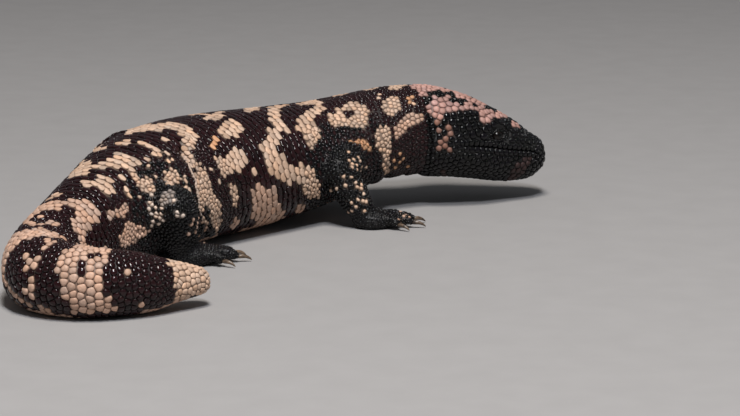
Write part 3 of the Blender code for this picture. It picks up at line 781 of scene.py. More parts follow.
# %% Rows of beads on neck, trunk and tail
# mm behind the nape against the step from row to row, and against the step within a row
ROW_PITCH = [(0, 2.1), (22, 2.2), (45, 2.9), (75, 3.5), (215, 3.4), (240, 2.1), (280, 1.9), (292, 2.4),
             (326, 2.4)]
BEAD_PITCH = [(0, 2.1), (22, 2.2), (45, 3.0), (75, 3.6), (200, 3.6), (240, 3.2), (300, 3.0), (326, 2.5)]
# share of the way from back to belly against the forward lean of a row there
ROW_LEAN = [(0, 0), (0.12, -0.08), (0.27, -0.12), (0.47, 0.15), (0.57, 0.28), (0.8, 0.2), (1, 0)]
LEAN_STEPS, LEAN_GROWS, LEAN_FADES = 40, 60, (175, 215)
FIRST_ROW, FIRST_BEAD = 1.4, 0.9
NEAREST_BEADS = 0.68
# mm that a bead's place may lie off the skin: in the flank's folds, on the neck, and elsewhere
GAP_FLANK, GAP_NECK, GAP_BODY = 2.8, 2.6, 0.75
TURN_STEPS = np.arange(0, 180.1, 1.5)


def body_rows():
    """Distance behind the nape, turn, row number and lean of each bead of the rows."""
    shares = np.linspace(0, 1, LEAN_STEPS + 1)
    leans = np.interp(shares, *zip(*ROW_LEAN))
    shift = np.concatenate([[0], np.cumsum((leans[1:] + leans[:-1]) / 2 / LEAN_STEPS)])
    found = []
    at, number = FIRST_ROW, 0
    while at < LENGTH + 1.5:
        here = min(at, LENGTH - 0.1)
        arc = arc_along(body_surface(np.full(TURN_STEPS.shape, here), TURN_STEPS))
        pitch = np.interp(here, *zip(*BEAD_PITCH))
        count = max(2, round(arc[-1] / pitch))
        offset = 0.5 if number % 2 else 0.0
        for side in (1, -1):
            for j in range(count + 1):
                along = (j + offset) * arc[-1] / count
                if along > arc[-1] + 0.01 or (side < 0 and along < 0.01):
                    continue
                turn = np.interp(along, arc, TURN_STEPS)
                straight = min(1.0, here / LEAN_GROWS) * (1 - smooth_step(here, *LEAN_FADES))
                leaned = here - arc[-1] * straight * np.interp(along / arc[-1], shares, shift)
                lean = straight * np.interp(along / arc[-1], shares, leans)
                if FIRST_BEAD < leaned < LENGTH:
                    found.append((leaned, side * turn, number, lean))
        at += np.interp(here, *zip(*ROW_PITCH))
        number += 1
    return np.array(found)


rows = body_rows()
row_places = body_surface(rows[:, 0], rows[:, 1], -BEAD_DEPTH)
settled, gaps, _ = settle(row_places)
at, turn = rows[:, 0], rows[:, 1]
allowed = np.where(within(at, (100, 170)) & (np.abs(turn) > 10), GAP_FLANK,
                   np.where(at < 45, GAP_NECK, GAP_BODY))
order = np.flatnonzero(gaps < allowed)
pitch = np.interp(at[order], *zip(*BEAD_PITCH))
kept = order[thin_out(settled[order], NEAREST_BEADS * pitch)]
body_roots, body_lean = settled[kept], rows[kept, 3] * np.sign(rows[kept, 1])
print("body rows:", int(rows[-1, 2]) + 1, "beads:", len(body_roots), "of", len(rows))

# %% [markdown]
# ### Plates of the head
# One side of the head is planned and mirrored, since a lizard's plates are nearly alike on both sides.
# The plates of the lips stand in two neat rows along the mouth. Two rings of small grains run round the
# lids. All other plates find their own places, with the most room for each over the temple.

# %% Plates of the head
LIP_STEP, LIP_ABOVE, LIP_BELOW = 2.7, 1.3, 1.4
LID_RINGS = [(1.28, 20), (1.62, 20)]
GRAIN_ROOM = 0.95
PLATE_SIZES = [  # mm behind the snout, degrees from the crown, spans, and the room of a plate there
    (43.0, 52.0, 8.0, 18.0, 4.4), (34.0, 75.0, 7.0, 18.0, 4.0), (26.0, 40.0, 5.0, 12.0, 3.0),
    (52.0, 95.0, 6.0, 25.0, 2.3), (45.0, 5.0, 18.0, 22.0, 2.2), (20.0, 5.0, 12.0, 20.0, 2.4),
    (8.0, 60.0, 6.0, 24.0, 2.2), (30.0, 140.0, 30.0, 30.0, 2.4),
]
PLATE_ROOM, ROOM_WEIGHT = 2.6, 0.35  # room of a plate elsewhere, and its weight beside the places above
LARGE_PLATE = 3.1  # plates with more room than this take their places first
HEAD_SAMPLES, PLATES_TRIED = 26000, 9000
PLATE_GAP, MIRROR_GAP, MIDDLE_GAP = 0.80, 0.95, 1.7
LIDS_BARE, LIDS_WITHIN, NOSTRIL_BARE, LIPS_BARE = 2.05, 7, 1.5, 2.9
MIDDLE_ROWS = [(1.5, 60, 0.0, 2.4), (3.0, 60, 180.0, 2.5)]  # start and end behind the snout, turn, step


def plate_room(back, side):
    """Room of a plate in mm at an address on the head."""
    total, weight = PLATE_ROOM * ROOM_WEIGHT, ROOM_WEIGHT
    for at, around, span, wide, room in PLATE_SIZES:
        share = np.exp(-(((back - at) / span) ** 2) - ((side - around) / wide) ** 2)
        total, weight = total + share * room, weight + share
    return total / weight


def lip_places():
    """Two rows of plates along the right half of the mouth."""
    found = []
    backs = np.arange(0.2, MOUTH_CORNER, 0.25)
    for rise in (LIP_ABOVE, -LIP_BELOW):
        slope = 1 + 0.5 * SNOUT_BEND * hump(backs, *SNOUT_SLOPE)
        lines = []
        for back, level in zip(backs, mouth_line(backs) + rise * slope):
            tried = np.arange(*MOUTH_SIDES, 0.5)
            height = head_section(np.full(tried.shape, back), tried)[1]
            lines.append((back, tried[np.argmin(np.abs(height - level))]))
        lines = np.array(lines)
        arc = arc_along(head_surface(lines[:, 0], lines[:, 1]))
        steps = np.arange(LIP_STEP * 0.9, arc[-1] - 0.5, LIP_STEP)
        found += [(np.interp(s, arc, lines[:, 0]), np.interp(s, arc, lines[:, 1])) for s in steps]
    return np.array(found)


lip_address = lip_places()
lip_roots, _, _ = settle(head_surface(lip_address[:, 0], lip_address[:, 1], -BEAD_DEPTH))
lid_roots = []
ahead, upward, outward = eye_frame(1)
for ring, (reach, count) in enumerate(LID_RINGS):
    for i in range(count):
        angle = 2 * math.pi * (i + 0.5 * ring) / count
        a, b = EYE_OPEN[0] * reach * math.cos(angle), EYE_OPEN[1] * reach * math.sin(angle)
        lid_roots.append(EYES[1] + ahead * a + upward * (b + EYE_SLANT * a) + outward * 0.5)
lid_roots, _, _ = settle(np.array(lid_roots))

tri_middles = SKIN_POINTS[SKIN_TRIS].mean(1)
tri_back, tri_turn, _, tri_reach, _ = head_address(tri_middles)
right_head = within(tri_back, (-1.5, 60.6)) & (tri_turn > 0) & (tri_reach < HEAD_WITHIN)
samples = scatter_on(right_head & (tri_middles[:, 2] > 5), HEAD_SAMPLES, 11)
back, turn, _, _, _ = head_address(samples)
side = side_of(turn)
eye_a, eye_b, _ = eye_measures(samples, 1)
closed = (eye_reach(eye_a, eye_b) < LIDS_BARE) & (np.hypot(eye_a, eye_b) < LIDS_WITHIN)
closed |= ear_reach(back, side, *EAR_BARE) < 1
closed |= np.linalg.norm(samples - NOSTRILS[1], axis=1) < NOSTRIL_BARE
closed |= ((np.abs(samples[:, 2] - mouth_line(back)) < LIPS_BARE) & (back < MOUTH_CORNER - 1)
           & within(side, MOUTH_SIDES))
open_samples = samples[~closed]
back, turn, _, _, _ = head_address(open_samples)
room = plate_room(back, side_of(turn))
order = np.argsort(-room[:PLATES_TRIED], kind="stable")
order = np.concatenate([order[room[order] > LARGE_PLATE],
                        np.flatnonzero(room[:PLATES_TRIED] <= LARGE_PLATE)])
taken = np.concatenate([lip_roots, lid_roots])
plates = open_samples[order[thin_out(open_samples[order], room[order] * PLATE_GAP, taken)]]
plates = plates[np.abs(head_measures(plates)[1]) > MIRROR_GAP]
# a row of plates down the middle of the crown and throat
middle_plates = []
for start, stop, turn, step in MIDDLE_ROWS:
    for back in np.arange(start, stop, step):
        middle_plates.append(head_surface(np.array(back), np.array(turn), -BEAD_DEPTH))
middle_plates, _, _ = settle(np.array(middle_plates))


def mirror_head(points):
    back, out, height = head_measures(points)
    return head_frame(back, -out, height)


plates = plates[thin_out(plates, np.full(len(plates), MIDDLE_GAP), middle_plates)]
plates = even_out(plates, np.concatenate([taken, middle_plates, mirror_head(plates)]), open_samples, 3)
half = np.concatenate([plates, lip_roots, lid_roots])
head_roots = np.concatenate([half, mirror_head(half), middle_plates])
print("plates and grains of the head:", len(head_roots))

# %% [markdown]
# ### Pebbles of the legs
# The legs have no rows. Round beads stand shoulder to shoulder on the upper arm and shin, and shrink to
# grains over the toes. The same pass fills any place on the body that the rows left open, such as the
# outer side of the tail's bend. At the end rows and pebbles are evened out together.

# %% Pebbles of the legs and feet
LEG_ROOM, FOOT_ROOM = 1.72, 1.42
LEG_BEGINS = (0.8, 2.6)  # mm off the body's form over which its room gives way to the leg's
CANDIDATES, SAMPLES = 120000, 70000
# how near a pebble may stand to the beads placed before, to a claw, and to other pebbles
BEAD_CLEAR, CLAW_CLEAR, PEBBLE_GAP = 0.56, 0.5, 0.77


def room_at(points):
    """Room of a bead in mm at points of body and legs, and how far the points stand off the body."""
    at, turn = spine_address(points)
    off = np.linalg.norm(points - body_surface(at, turn, -BEAD_DEPTH), axis=1)
    body = np.interp(at, *zip(*BEAD_PITCH))
    small = LEG_ROOM + (FOOT_ROOM - LEG_ROOM) * foot_share(points)
    return body + (small - body) * smooth_step(off, *LEG_BEGINS), off


claw_points, claw_faces = [], []
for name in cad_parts:
    if name.startswith("claw"):
        mesh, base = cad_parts[name].data, len(claw_points)
        claw_points += [tuple(v.co / MM) for v in mesh.vertices]
        claw_faces += [[base + i for i in face.vertices] for face in mesh.polygons]
claw_tree = BVHTree.FromPolygons(claw_points, claw_faces)

placed = np.concatenate([body_roots, head_roots])
placed_tree = tree_of(placed)
off_head = ~(within(tri_back, (-2, 59.5)) & (tri_reach < HEAD_WITHIN))
candidates = scatter_on(off_head, CANDIDATES, 23)
room, _ = room_at(candidates)
clear = np.array([placed_tree.find(point)[2] > BEAD_CLEAR * gap
                  and claw_tree.find_nearest(Vector(point))[3] > CLAW_CLEAR
                  for point, gap in zip(candidates, room)])
candidates, room = candidates[clear], room[clear]
pebbles = candidates[thin_out(candidates, room * PEBBLE_GAP, placed)]
samples = scatter_on(off_head, SAMPLES, 29)
evened = even_out(np.concatenate([body_roots, pebbles]), head_roots, samples, 2)
body_roots, leg_roots = evened[:len(body_roots)], evened[len(body_roots):]
print("pebbles:", len(leg_roots), "from", len(candidates), "candidates")

# %% [markdown]
# ## Two domes, each modelled once
# A bead is a low dome of horn over a core of bone. It starts as a short cylinder whose top is inset and
# raised in steps and drawn to a soft point. A plain dome serves the legs and a rounder one the body and
# head. A dome is copied to every root, and each copy is stretched to fill its own cell of the skin: it
# reaches half way to each neighbour, less half a groove. That gives the close but uneven packing of real
# scales, which no plain copy would.

# %% Model the bead and the plate
def model_bead(name, sides, steps, peak):
    """A closed dome whose top face is inset and raised by each step, then poked up to a peak."""
    deselect()
    bpy.ops.mesh.primitive_cylinder_add(vertices=sides, radius=1.0, depth=1.3, location=(0, 0, -0.35))
    bead = bpy.context.object
    bead.name = name
    bpy.ops.object.transform_apply(location=True, rotation=True, scale=True)
    bpy.ops.object.mode_set(mode="EDIT")
    bpy.ops.mesh.select_all(action="DESELECT")
    bpy.ops.mesh.select_mode(type="FACE")
    bpy.ops.object.mode_set(mode="OBJECT")
    for face in bead.data.polygons:
        face.select = face.normal.z > 0.9
    bpy.ops.object.mode_set(mode="EDIT")
    for inward, rise in steps:
        bpy.ops.mesh.inset(thickness=inward, depth=rise)
    bpy.ops.mesh.poke(offset=peak)
    bpy.ops.object.mode_set(mode="OBJECT")
    points = read_vectors(bead.data.vertices, "co")
    faces = [tuple(face.vertices) for face in bead.data.polygons]
    bpy.data.objects.remove(bead)
    return points, faces


BEAD = model_bead("bead", 12, [(0.27, 0.48)], 0.22)
PLATE = model_bead("plate", 16, [(0.12, 0.30), (0.26, 0.27)], 0.13)
print("bead:", len(BEAD[0]), "points; plate:", len(PLATE[0]), "points")

# %% Gather every root with its address, room and direction
LIMB_LINES = {  # root, bend, ankle and toes of each limb, in mm of the drawing
    "fore_right": [(-8.5, -14, 31), (-13.7, -39.5, 25), (-4.6, -41.5, 9.8), (12.0, -36.0, 3.0)],
    "fore_left": [(-19.5, 8.5, 30), (-46, 24, 22), (-36.5, 34.5, 9.8), (-24.0, 45.0, 3.0)],
    "hind_right": [(-93, -105.5, 21.5), (-78, -119, 25.5), (-77, -112.5, 10.4), (-62.0, -104.0, 3.0)],
    "hind_left": [(-111, -98, 21.5), (-121.5, -77, 19), (-131, -85, 10.4), (-130.0, -66.0, 3.0)],
}
LIMB_OFF, LIMB_WITHIN = 1.3, 20  # a root is a limb's when it is this far off the body and near the limb
ROWS_BEGIN, ROWS_END, ROWS_LOST = (34, 62), (200, 240), 0.8  # where beads close up into rows and part again
GRAIN_REACH = 1.95


def limb_address(points, line):
    """Distance along a limb, angle round it, and distance from its middle line."""
    line = np.array(line, float) - [PLAN_ORIGIN[0], PLAN_ORIGIN[1], 0]
    best = np.full(len(points), 1e9)
    along, around = np.zeros(len(points)), np.zeros(len(points))
    ways = np.zeros((len(points), 3))
    start = 0.0
    for a, b in zip(line[:-1], line[1:]):
        run = b - a
        span = np.linalg.norm(run)
        way = run / span
        share = np.clip((points - a) @ way, 0, span)
        gap = points - a - share[:, None] * way
        away = np.linalg.norm(gap, axis=1)
        level = np.cross(way, [0, 0, 1])
        level /= np.linalg.norm(level)
        angle = np.degrees(np.arctan2(gap @ level, gap @ np.cross(level, way)))
        closer = away < best
        best, along = np.where(closer, away, best), np.where(closer, start + share, along)
        around = np.where(closer, angle, around)
        ways = np.where(closer[:, None], way, ways)
        start += span
    return along, around, best, ways, start


counts = [len(body_roots), len(head_roots), len(leg_roots)]
ROOTS = np.concatenate([body_roots, head_roots, leg_roots])
limb_names = list(LIMB_LINES)
limb_gaps = np.array([limb_address(leg_roots, line)[2] for line in LIMB_LINES.values()])
_, off_body = room_at(leg_roots)
is_limb = (off_body > LIMB_OFF) & (limb_gaps.min(0) < LIMB_WITHIN)
REGION = np.concatenate([np.zeros(counts[0], int), np.ones(counts[1], int),
                         np.where(is_limb, limb_gaps.argmin(0) + 2, 0)])
AT, TURN = spine_address(ROOTS)
_, _, NORMALS = settle(ROOTS)
FOOT = foot_share(ROOTS) * (REGION >= 2)
LEAN = np.concatenate([body_lean, np.zeros(counts[1] + counts[2])])
IN_ROW = np.concatenate([np.ones(counts[0]), np.zeros(counts[1] + counts[2])])
IN_ROW *= smooth_step(AT, *ROWS_BEGIN)
IN_ROW *= 1 - ROWS_LOST * smooth_step(AT, *ROWS_END)

ALONG = np.zeros((len(ROOTS), 3))
ALONG[REGION == 0, :2] = spine_ahead(AT[REGION == 0])
ALONG[REGION == 1] = [HEAD_AHEAD[0], HEAD_AHEAD[1], 0.05]
for number, name in enumerate(limb_names):
    chosen = REGION == number + 2
    ALONG[chosen] = -limb_address(ROOTS[chosen], LIMB_LINES[name])[3]
ALONG -= NORMALS * (ALONG * NORMALS).sum(1)[:, None]
ALONG /= np.maximum(np.linalg.norm(ALONG, axis=1, keepdims=True), 1e-6)
ACROSS = np.cross(NORMALS, ALONG)

head_back, head_turn, _, _, _ = head_address(ROOTS)
plate_rooms = plate_room(head_back, side_of(head_turn))
ROOM = np.where(REGION == 1, plate_rooms, room_at(ROOTS)[0])
GRAIN = np.zeros(len(ROOTS), bool)
for side in (1, -1):
    eye_a, eye_b, _ = eye_measures(ROOTS, side)
    GRAIN |= (REGION == 1) & (eye_reach(eye_a, eye_b) < GRAIN_REACH) & (head_turn * side > 0)
ROOM = np.where(GRAIN, GRAIN_ROOM, ROOM)
print("roots:", len(ROOTS), "by region:", np.bincount(REGION))

# %% Fit each copy to its own cell
NEIGHBOURS, CORNER = 14, 7
GROOVE, ROW_GROOVE, ROW_SHARE, ROW_FUSE = 0.14, 0.0, 0.13, 0.20
WIDEST, TAIL_WIDER, WIDER_FROM = 0.66, 0.16, 215  # widest reach as a share of the room
NARROWEST = 0.2
ROW_WAY = np.stack([np.ones(len(ROOTS)), LEAN], -1)
ROW_WAY /= np.linalg.norm(ROW_WAY, axis=1, keepdims=True)


def cell_reaches(sides):
    """Reach of each bead in each direction round its root."""
    tree = tree_of(ROOTS)
    near = np.array([[index for _, index, _ in tree.find_n(root, NEIGHBOURS + 1)][1:] for root in ROOTS])
    away = ROOTS[near] - ROOTS[:, None]
    span = np.linalg.norm(away, axis=2)
    flat = np.stack([(away * ALONG[:, None]).sum(2), (away * ACROSS[:, None]).sum(2)], -1)
    flat /= np.maximum(np.linalg.norm(flat, axis=2, keepdims=True), 1e-6)
    share = ROOM[:, None] / (ROOM[:, None] + ROOM[near])
    angle = 2 * np.pi * np.arange(sides) / sides
    ways = np.stack([np.cos(angle), np.sin(angle)], -1)
    facing = flat @ ways.T
    inverse = np.where(facing > 0.05, np.maximum(facing, 0) / (share * span)[:, :, None], 0)
    widest = (1 / ((WIDEST + TAIL_WIDER * (REGION == 0) * (AT > WIDER_FROM)) * ROOM)) ** CORNER
    reach = ((inverse**CORNER).sum(1) + widest[:, None]) ** (-1 / CORNER)
    across = (ROW_WAY @ ways.T) ** 2
    rowed = IN_ROW[:, None]
    reach -= (GROOVE + (ROW_GROOVE - GROOVE) * rowed * (1 - across)) / 2
    reach *= 1 + rowed * (ROW_FUSE * (1 - across) ** 3 - ROW_SHARE * across)
    return np.maximum(reach, NARROWEST)


REACH_12, REACH_16 = cell_reaches(12), cell_reaches(16)
mean_reach = REACH_12.mean(1)
print("mean half width of a bead:", round(float(mean_reach.mean()), 2), "mm")

# %% [markdown]
# ## Markings
# The pattern is read from the photograph, as a signwriter would trace it: each pale patch is a
# short outline with a name, in pixels of the picture. A bead takes the colour of the patch that its own
# root falls in, so each bead is one clean colour, as on the animal. The side that the camera doesn't see
# carries the same patches mirrored and then drawn out of line along the back, because the two sides of a
# real animal resemble but never repeat each other.

# %% Patches of body, tail, head and legs
# each patch: its tint and its outline in pixels of the photograph
BODY_PALE = {
    "loin_arch": ("buff", [
        (124.8, 133), (135.1, 128.2), (146, 124.5), (156.9, 125.1), (166.6, 123.3), (175.1, 121.5),
        (186, 125.8), (194.5, 129.4), (197.5, 135.4), (196.3, 147.6), (188.4, 150), (184.8, 142.7),
        (181.2, 139.1), (178.1, 133), (175.1, 130), (165.4, 130), (156.9, 131.8), (147.2, 132.4),
        (137.6, 133.6), (130.3, 135.4)]),
    "fold_ridge": ("buff", [
        (181.2, 147.6), (189.4, 149.5), (196, 157.5), (200.5, 163.5), (206.4, 170), (209.6, 181),
        (213.1, 193), (219.3, 200.3), (221.8, 210.6), (221.2, 222.7), (216.3, 232.4), (210.9, 226.3),
        (208.4, 216.6), (210.9, 210.6), (207.2, 206.9), (204.2, 202.1), (203, 216.6), (207.2, 222.7),
        (203, 222.7), (200, 206.9), (197.5, 188.8), (193.9, 177.9), (189.7, 167), (183.6, 158.5),
        (180, 153.6)]),
    "saddle_beads": ("orange", [
        (207.6, 142.5), (213.6, 135.4), (222.8, 140.3), (219.6, 145.7), (212.5, 151.7), (209.3, 147.9)]),
    "saddle_top": ("buff", [
        (217.4, 134.9), (221.2, 127.3), (227.7, 121.9), (232, 120.2), (238.5, 121.3), (242.9, 125.1),
        (245.1, 132.7), (239.1, 137.6), (234.2, 138.1), (227.7, 136.5), (223.4, 139.2)]),
    "back_dash": ("buff", [
        (203.9, 118.6), (207.1, 115.4), (223.4, 112.1), (226.6, 115.4), (222.3, 118.6), (212.5, 120.8),
        (209.3, 124.6), (205.5, 122.4)]),
    "skyline_dash": ("buff", [(187.4, 115.4), (194, 113.3), (202.3, 111.9), (203.5, 115.2), (195, 117)]),
    "skyline_patch": ("buff", [
        (237.5, 107.8), (245.1, 105.6), (260.8, 105.6), (260.8, 110.5), (254.8, 111), (247.8, 113.7),
        (242.9, 110.5)]),
    "flank_cloud": ("buff", [
        (215.2, 158.7), (220.1, 155.5), (231, 157.6), (231.5, 150.1), (236.4, 147.9), (244, 150.1),
        (246.7, 154.4), (245.1, 163.1), (245.6, 170.7), (240.7, 173.9), (236.4, 171.2), (230.4, 172.8),
        (223.4, 177.2), (220.1, 170.7)]),
    "long_band": ("buff", [
        (266.7, 108.3), (274.3, 107.2), (287.3, 105.6), (286.8, 108.3), (279.7, 110.5), (279.7, 115.4),
        (285.7, 122.9), (288.4, 131.6), (283, 134.9), (279.2, 138.1), (280.8, 145.7), (278.7, 149),
        (279.2, 154.4), (286.8, 158.7), (297.1, 164.1), (307.9, 166.3), (314.4, 169.6), (314.4, 178.2),
        (318.8, 182.6), (319.9, 196.7), (313.4, 198.3), (307.9, 196.7), (303.6, 190.2), (299.8, 182.6),
        (289.5, 185.3), (281.4, 184.7), (278.1, 176.1), (267.8, 170.7), (264.6, 159.8), (260.2, 145.7),
        (266.7, 141.4), (268.4, 132.7), (271.6, 128.4), (268.9, 113.2)]),
    "front_hook": ("buff", [
        (295.5, 105.1), (304.7, 102.9), (315.5, 100.2), (322, 101.3), (325.8, 107.8), (319.9, 114.3),
        (312.3, 119.7), (314.4, 125.1), (319.9, 129.5), (319.9, 138.1), (314.4, 142.5), (311.7, 149.5),
        (307.9, 149), (307.4, 141.4), (303.6, 133.8), (298.2, 130.5), (297.6, 122.9), (302.5, 116.4),
        (310.1, 111), (314.4, 105.6), (306.8, 105.6), (297.1, 106.1)]),
    "belly_side": ("rose", [
        (249.9, 193.4), (254.8, 186.9), (261.3, 183.1), (266.7, 186.4), (274.3, 189.1), (275.9, 197.8),
        (282.5, 204.3), (286.8, 215.1), (277.6, 219.4), (266.7, 221.6), (255.9, 223.8), (250.5, 212.9)]),
    "low_streak": ("buff", [
        (227.7, 184.2), (232, 185.3), (238, 185.8), (239.6, 193.4), (239.1, 203.2), (234.2, 208.6),
        (232, 199.9), (229.3, 191.2)]),
    "low_patch": ("rose", [(231, 220.5), (239.1, 216.2), (239.1, 225.9), (232, 229.2)]),
    "chest_patch": ("rose", [(296.6, 205.3), (305.8, 205.3), (304.7, 212.9), (297.1, 214)]),
    "rump_dash": ("buff", [
        (89.1, 153), (97.6, 145.7), (102.4, 145.1), (106.7, 149.4), (101.2, 151.2), (92.7, 153.6)]),
    "rump_patch": ("buff", [
        (113.3, 145.7), (119.4, 141.5), (129.1, 139.1), (132.7, 145.1), (127.9, 147.6), (120.6, 147)]),
    "hip_patch": ("buff", [
        (139.4, 142.1), (149.7, 142.7), (155.7, 147.6), (160.6, 153.6), (159.4, 156.7), (153.3, 156.7),
        (148.5, 151.2), (142.4, 147)]),
    "hip_band": ("buff", [
        (69.7, 177.3), (73.3, 168.2), (80.6, 160.9), (92.7, 160.9), (94.5, 164.5), (108.5, 160.9),
        (117, 153.6), (125.4, 154.8), (133.9, 156.7), (138.8, 163.3), (137.5, 165.7), (132.7, 164.5),
        (132.1, 169.4), (137.5, 176), (149.7, 177.3), (154.5, 182.7), (157.5, 192.4), (149.7, 193.6),
        (137.5, 188.8), (132.7, 180.3), (129.1, 171.8), (120.6, 167.6), (110.9, 167), (100, 170.6),
        (93.9, 169.4), (85.4, 176), (77, 177.9)]),
    "thigh_band": ("buff", [
        (78.2, 186.9), (84.2, 181.5), (96.4, 179.7), (109.7, 178.5), (113.3, 183.9), (117, 190),
        (114.5, 197.2), (106, 193.6), (96.4, 190), (90.3, 186.3), (83, 186.9)]),
    "groin_patch": ("buff", [
        (160.6, 170.6), (163, 168.2), (166.6, 171.8), (170.3, 168.2), (177.5, 169.4), (181.2, 177.9),
        (177.5, 183.9), (171.5, 187.6), (166.6, 185.1), (164.2, 177.9)]),
    "rump_streak": ("buff", [
        (48.2, 200.3), (54, 194.6), (62, 190), (64.3, 188.8), (60.8, 194.6), (53.4, 200.3)]),
    "hip_thread": ("buff", [(142.4, 155.4), (147.2, 159.7), (150.3, 165.7), (148.5, 169.4)]),
    "shoulder_dash": ("buff", [
        (332.1, 96.6), (336.3, 93.9), (343.7, 91.3), (350, 91.3), (348.9, 93.9), (341.6, 96.6),
        (334.2, 97.6)]),
    "shoulder_ring": ("buff", [
        (326.8, 118.1), (330, 114.5), (336.3, 110.3), (340.5, 108.7), (341.6, 105.5), (347.9, 102.6),
        (356.3, 103.4), (362.6, 105.5), (367.9, 108.7), (368.4, 113.9), (369.5, 121.3), (365.8, 126.6),
        (360.5, 127.6), (356.3, 128.7), (352.1, 127.1), (344.7, 127.1), (336.3, 127.6), (331.6, 125.5)]),
    "neck_top": ("buff", [
        (357.9, 91.3), (361.6, 88.2), (368.9, 85.5), (377.3, 85), (378.9, 88.2), (373.1, 90.3),
        (364.7, 91.3)]),
    "neck_spot": ("buff", [
        (375.8, 95), (378.4, 91.8), (381, 95), (381.6, 99.7), (378.9, 101.3), (376.3, 98.7)]),
    "neck_patch": ("buff", [
        (381.6, 103.4), (382.6, 99.7), (387.9, 97.1), (394.2, 97.6), (400.5, 98.7), (402.6, 102.4),
        (401, 108.7), (397.3, 111.8), (394.2, 117.1), (388.9, 117.1), (385.8, 113.4), (382.6, 107.6)]),
    "fold_band": ("buff", [
        (374.2, 136), (375.2, 130.8), (379.5, 126.6), (384.7, 125), (390, 126.6), (392.1, 131.8),
        (391.6, 142.3), (390.5, 152.9), (389.4, 163.4), (388.4, 172.9), (383.7, 173.9), (382.1, 165.5),
        (380.5, 156), (377.3, 147.6), (374.2, 142.3)]),
    "nape_dash": ("buff", [
        (388.9, 86.6), (394.2, 84.5), (401.6, 82.9), (408.9, 83.4), (409.4, 86), (402.6, 87.1),
        (397.3, 89.2), (393.1, 90.8), (390, 89.7)]),
    "nape": ("pink", [
        (409.4, 82), (415.2, 81), (425.8, 81), (435.2, 82), (436.5, 88), (434, 92), (428.9, 95),
        (422.6, 97), (418.4, 94.5), (415.2, 90), (411, 87.5)]),
    "nape_bead": ("orange", [
        (407.9, 96.6), (410.5, 95), (413.1, 96.6), (412.6, 100.3), (410, 103.9), (407.9, 103.4)]),
    "ear_patch": ("rose", [
        (393.7, 127.6), (397.3, 123.4), (402.6, 120.2), (405.2, 117.1), (411, 114.5), (412.6, 108.7),
        (415.2, 109.2), (416.8, 112.4), (421.5, 115), (422.6, 120.2), (419.4, 124.5), (414.2, 126.6),
        (407.9, 128.7), (402.6, 132.9), (399.4, 138.1), (395.2, 138.1), (393.7, 133.9)]),
    "shoulder_strip": ("orange", [
        (348.4, 140.2), (352.1, 139.7), (359.5, 140.2), (366.8, 142.3), (372.1, 147.6), (375.2, 153.4),
        (372.1, 153.4), (366.8, 150.8), (361.6, 146.6), (355.2, 143.4), (350, 142.3)]),
}
BODY_DARK = {
    "ridge_spot": [(195, 167.5), (198.6, 171.5), (199.2, 177), (196.6, 177.6), (194, 171.8)],
    "ring_spot": [
        (344.7, 115), (347.4, 111.3), (351, 110.8), (353.7, 113.9), (352.1, 117.1), (347.9, 118.1),
        (344.7, 117.6)],
}
BODY_BEADS = {  # places of single pale beads, by tint
    "buff": [
        (254.3, 174.4), (220.7, 180.2), (211.4, 171.2), (168.5, 154.8), (168.5, 160.7), (173.3, 160.3),
        (156.9, 177.9), (185.4, 176.6), (185.4, 181.5), (186, 188.8), (189.7, 191.2), (120.6, 178.5),
        (101.8, 177.3), (124.2, 188.8), (127.9, 195.4), (137.5, 196.6), (413.7, 105.2), (162, 139.8)],
    "orange": [
        (399.2, 153.2), (402.5, 158.6), (399.3, 163.5), (395.5, 159.8), (406.8, 165.2), (394.8, 166.4)],
}
